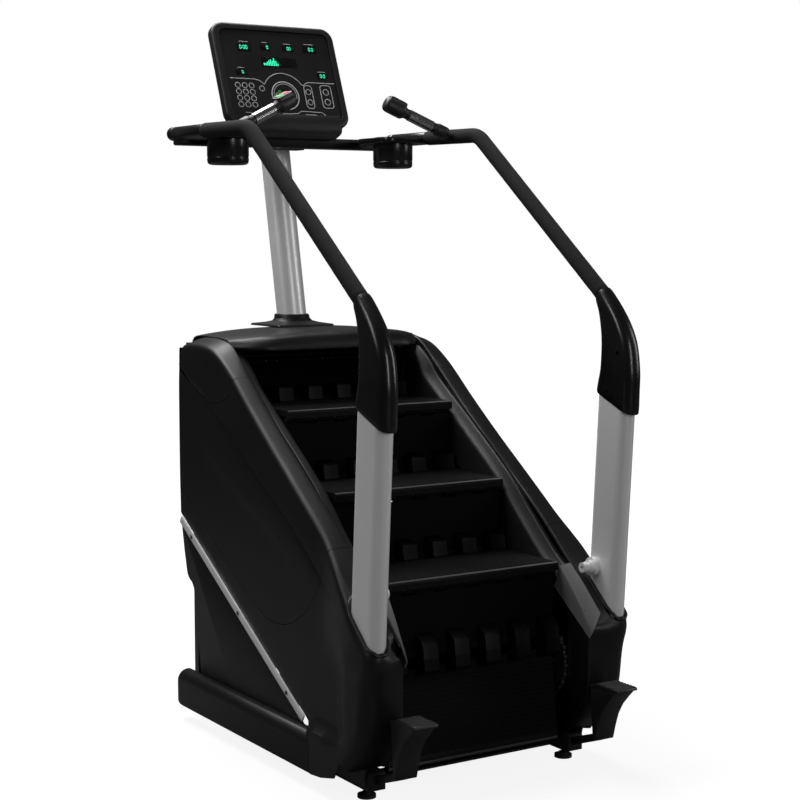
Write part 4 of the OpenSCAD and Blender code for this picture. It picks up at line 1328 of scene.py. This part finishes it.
FLIGHTS = [
    ("front_treads", "front_steps", [(along_run(H1, k), 0.0) for k in range(3)]),
    ("lower_tread", "bottom_tread", [(H4, swing(H4, N4))]),
    ("return_treads", "return_steps", [(along_run(H5, k, -1), 180.0) for k in range(3)]),
    ("upper_tread", "top_tread", [(H8, swing(H8, N8))]),
]
for node_name, body, steps in FLIGHTS:
    bm = bmesh.new()
    trim = bmesh.new()
    for origin, angle in steps:
        matrix = step_matrix(origin, angle)
        build_tread(bm, matrix)
        build_nosing(trim, matrix)
    dress(from_bmesh(node_name + "_ribbed", bm, 30), "tread_plastic", body, [node_name])
    dress(from_bmesh(node_name + "_nosings", trim, 30), "tread_plastic", body, look="nosing_grip")

# ---------------------------------------------------------------- softened edges on carried-over nodes
SOFT_EDGES = {"base_frame": 2.0, "levelling_feet": 1.2, "rail_sensors": 1.0, "front_risers": 1.2,
              "lower_riser": 1.2, "return_risers": 1.2, "upper_riser": 1.2, "left_transport_wheel": 1.5,
              "right_transport_wheel": 1.5, "cover_screws": 0.6, "brake_housing": 2.0}
for node_name, width in SOFT_EDGES.items():
    bevel(nodes[node_name], "soft_edges", width, 2, 40)

# ---------------------------------------------------------------- floor, light and camera
world = bpy.data.worlds.new("studio")
bpy.context.scene.world = world
world.use_nodes = True
tree = world.node_tree
background = tree.nodes["Background"]
background.inputs["Color"].default_value = (1, 1, 1, 1)
path_node = make_node(tree, "LightPath")
strength = make_node(tree, "MapRange", To_Min=0.06, To_Max=1.0)
tree.links.new(path_node.outputs["Is Camera Ray"], strength.inputs["Value"])
tree.links.new(strength.outputs[0], background.inputs["Strength"])

bm = bmesh.new()
bmesh.ops.create_grid(bm, x_segments=1, y_segments=1, size=14)
floor = from_bmesh("floor", bm)
floor_mat = bpy.data.materials.new("pale_floor")
floor_mat.use_nodes = True
tree = floor_mat.node_tree
shader = tree.nodes["Principled BSDF"]
shader.inputs["Base Color"].default_value = (0.13, 0.13, 0.13, 1)
shader.inputs["Roughness"].default_value = 0.8
path_node = make_node(tree, "LightPath")
where = make_node(tree, "TexCoord")
reach = make_node(tree, "VectorMath")
reach.operation = "LENGTH"
tree.links.new(where.outputs["Object"], reach.inputs[0])
fade = make_node(tree, "MapRange", From_Min=0.9, From_Max=3.2, To_Min=0.88, To_Max=1.05)
tree.links.new(reach.outputs["Value"], fade.inputs["Value"])
glow = make_node(tree, "Math")
glow.operation = "MULTIPLY"
tree.links.new(fade.outputs[0], glow.inputs[1])
tree.links.new(path_node.outputs["Is Camera Ray"], glow.inputs[0])
shader.inputs["Emission Color"].default_value = (1, 1, 1, 1)
tree.links.new(glow.outputs[0], shader.inputs["Emission Strength"])
floor.data.materials.append(floor_mat)


def aim(obj, location, direction):
    obj.location = location
    obj.rotation_mode = "QUATERNION"
    obj.rotation_quaternion = direction.to_track_quat("-Z", "Y")


def softbox(name, location, target, size, power):
    lamp = bpy.data.lights.new(name, "AREA")
    lamp.shape = "RECTANGLE"
    lamp.size, lamp.size_y = size
    lamp.energy = power
    aim(new_object(name, lamp), location, Vector(target) - Vector(location))


softbox("top_light", (-0.4, 1.6, 4.4), (0, 0.1, 0.9), (3.4, 2.4), 230)
softbox("left_light", (-4.6, 0.2, 4.0), (0, 0.1, 1.2), (1.0, 2.0), 40)
softbox("front_light", (-0.2, -5.6, 2.6), (0, 0.0, 1.3), (0.9, 2.8), 46)
softbox("right_light", (4.2, -2.6, 2.6), (0, 0.0, 1.3), (1.0, 2.8), 46)

AZIMUTH, ELEVATION = math.radians(-32.5394), math.radians(5.65)
FOCAL_RATIO = 2.1610194614579  # the focal length over the picture's width
back = Vector((math.sin(AZIMUTH) * math.cos(ELEVATION), -math.cos(AZIMUTH) * math.cos(ELEVATION),
               math.sin(ELEVATION)))
camera = new_object("camera", bpy.data.cameras.new("camera"))
camera.data.sensor_width = 36
camera.data.lens = 36 * FOCAL_RATIO
aim(camera, (-2.640625, -4.12061 + SHIFT_Y * MM, 1.491879), -back)
bpy.context.scene.camera = camera
bpy.context.scene.view_settings.view_transform = "Standard"

bpy.context.view_layer.update()
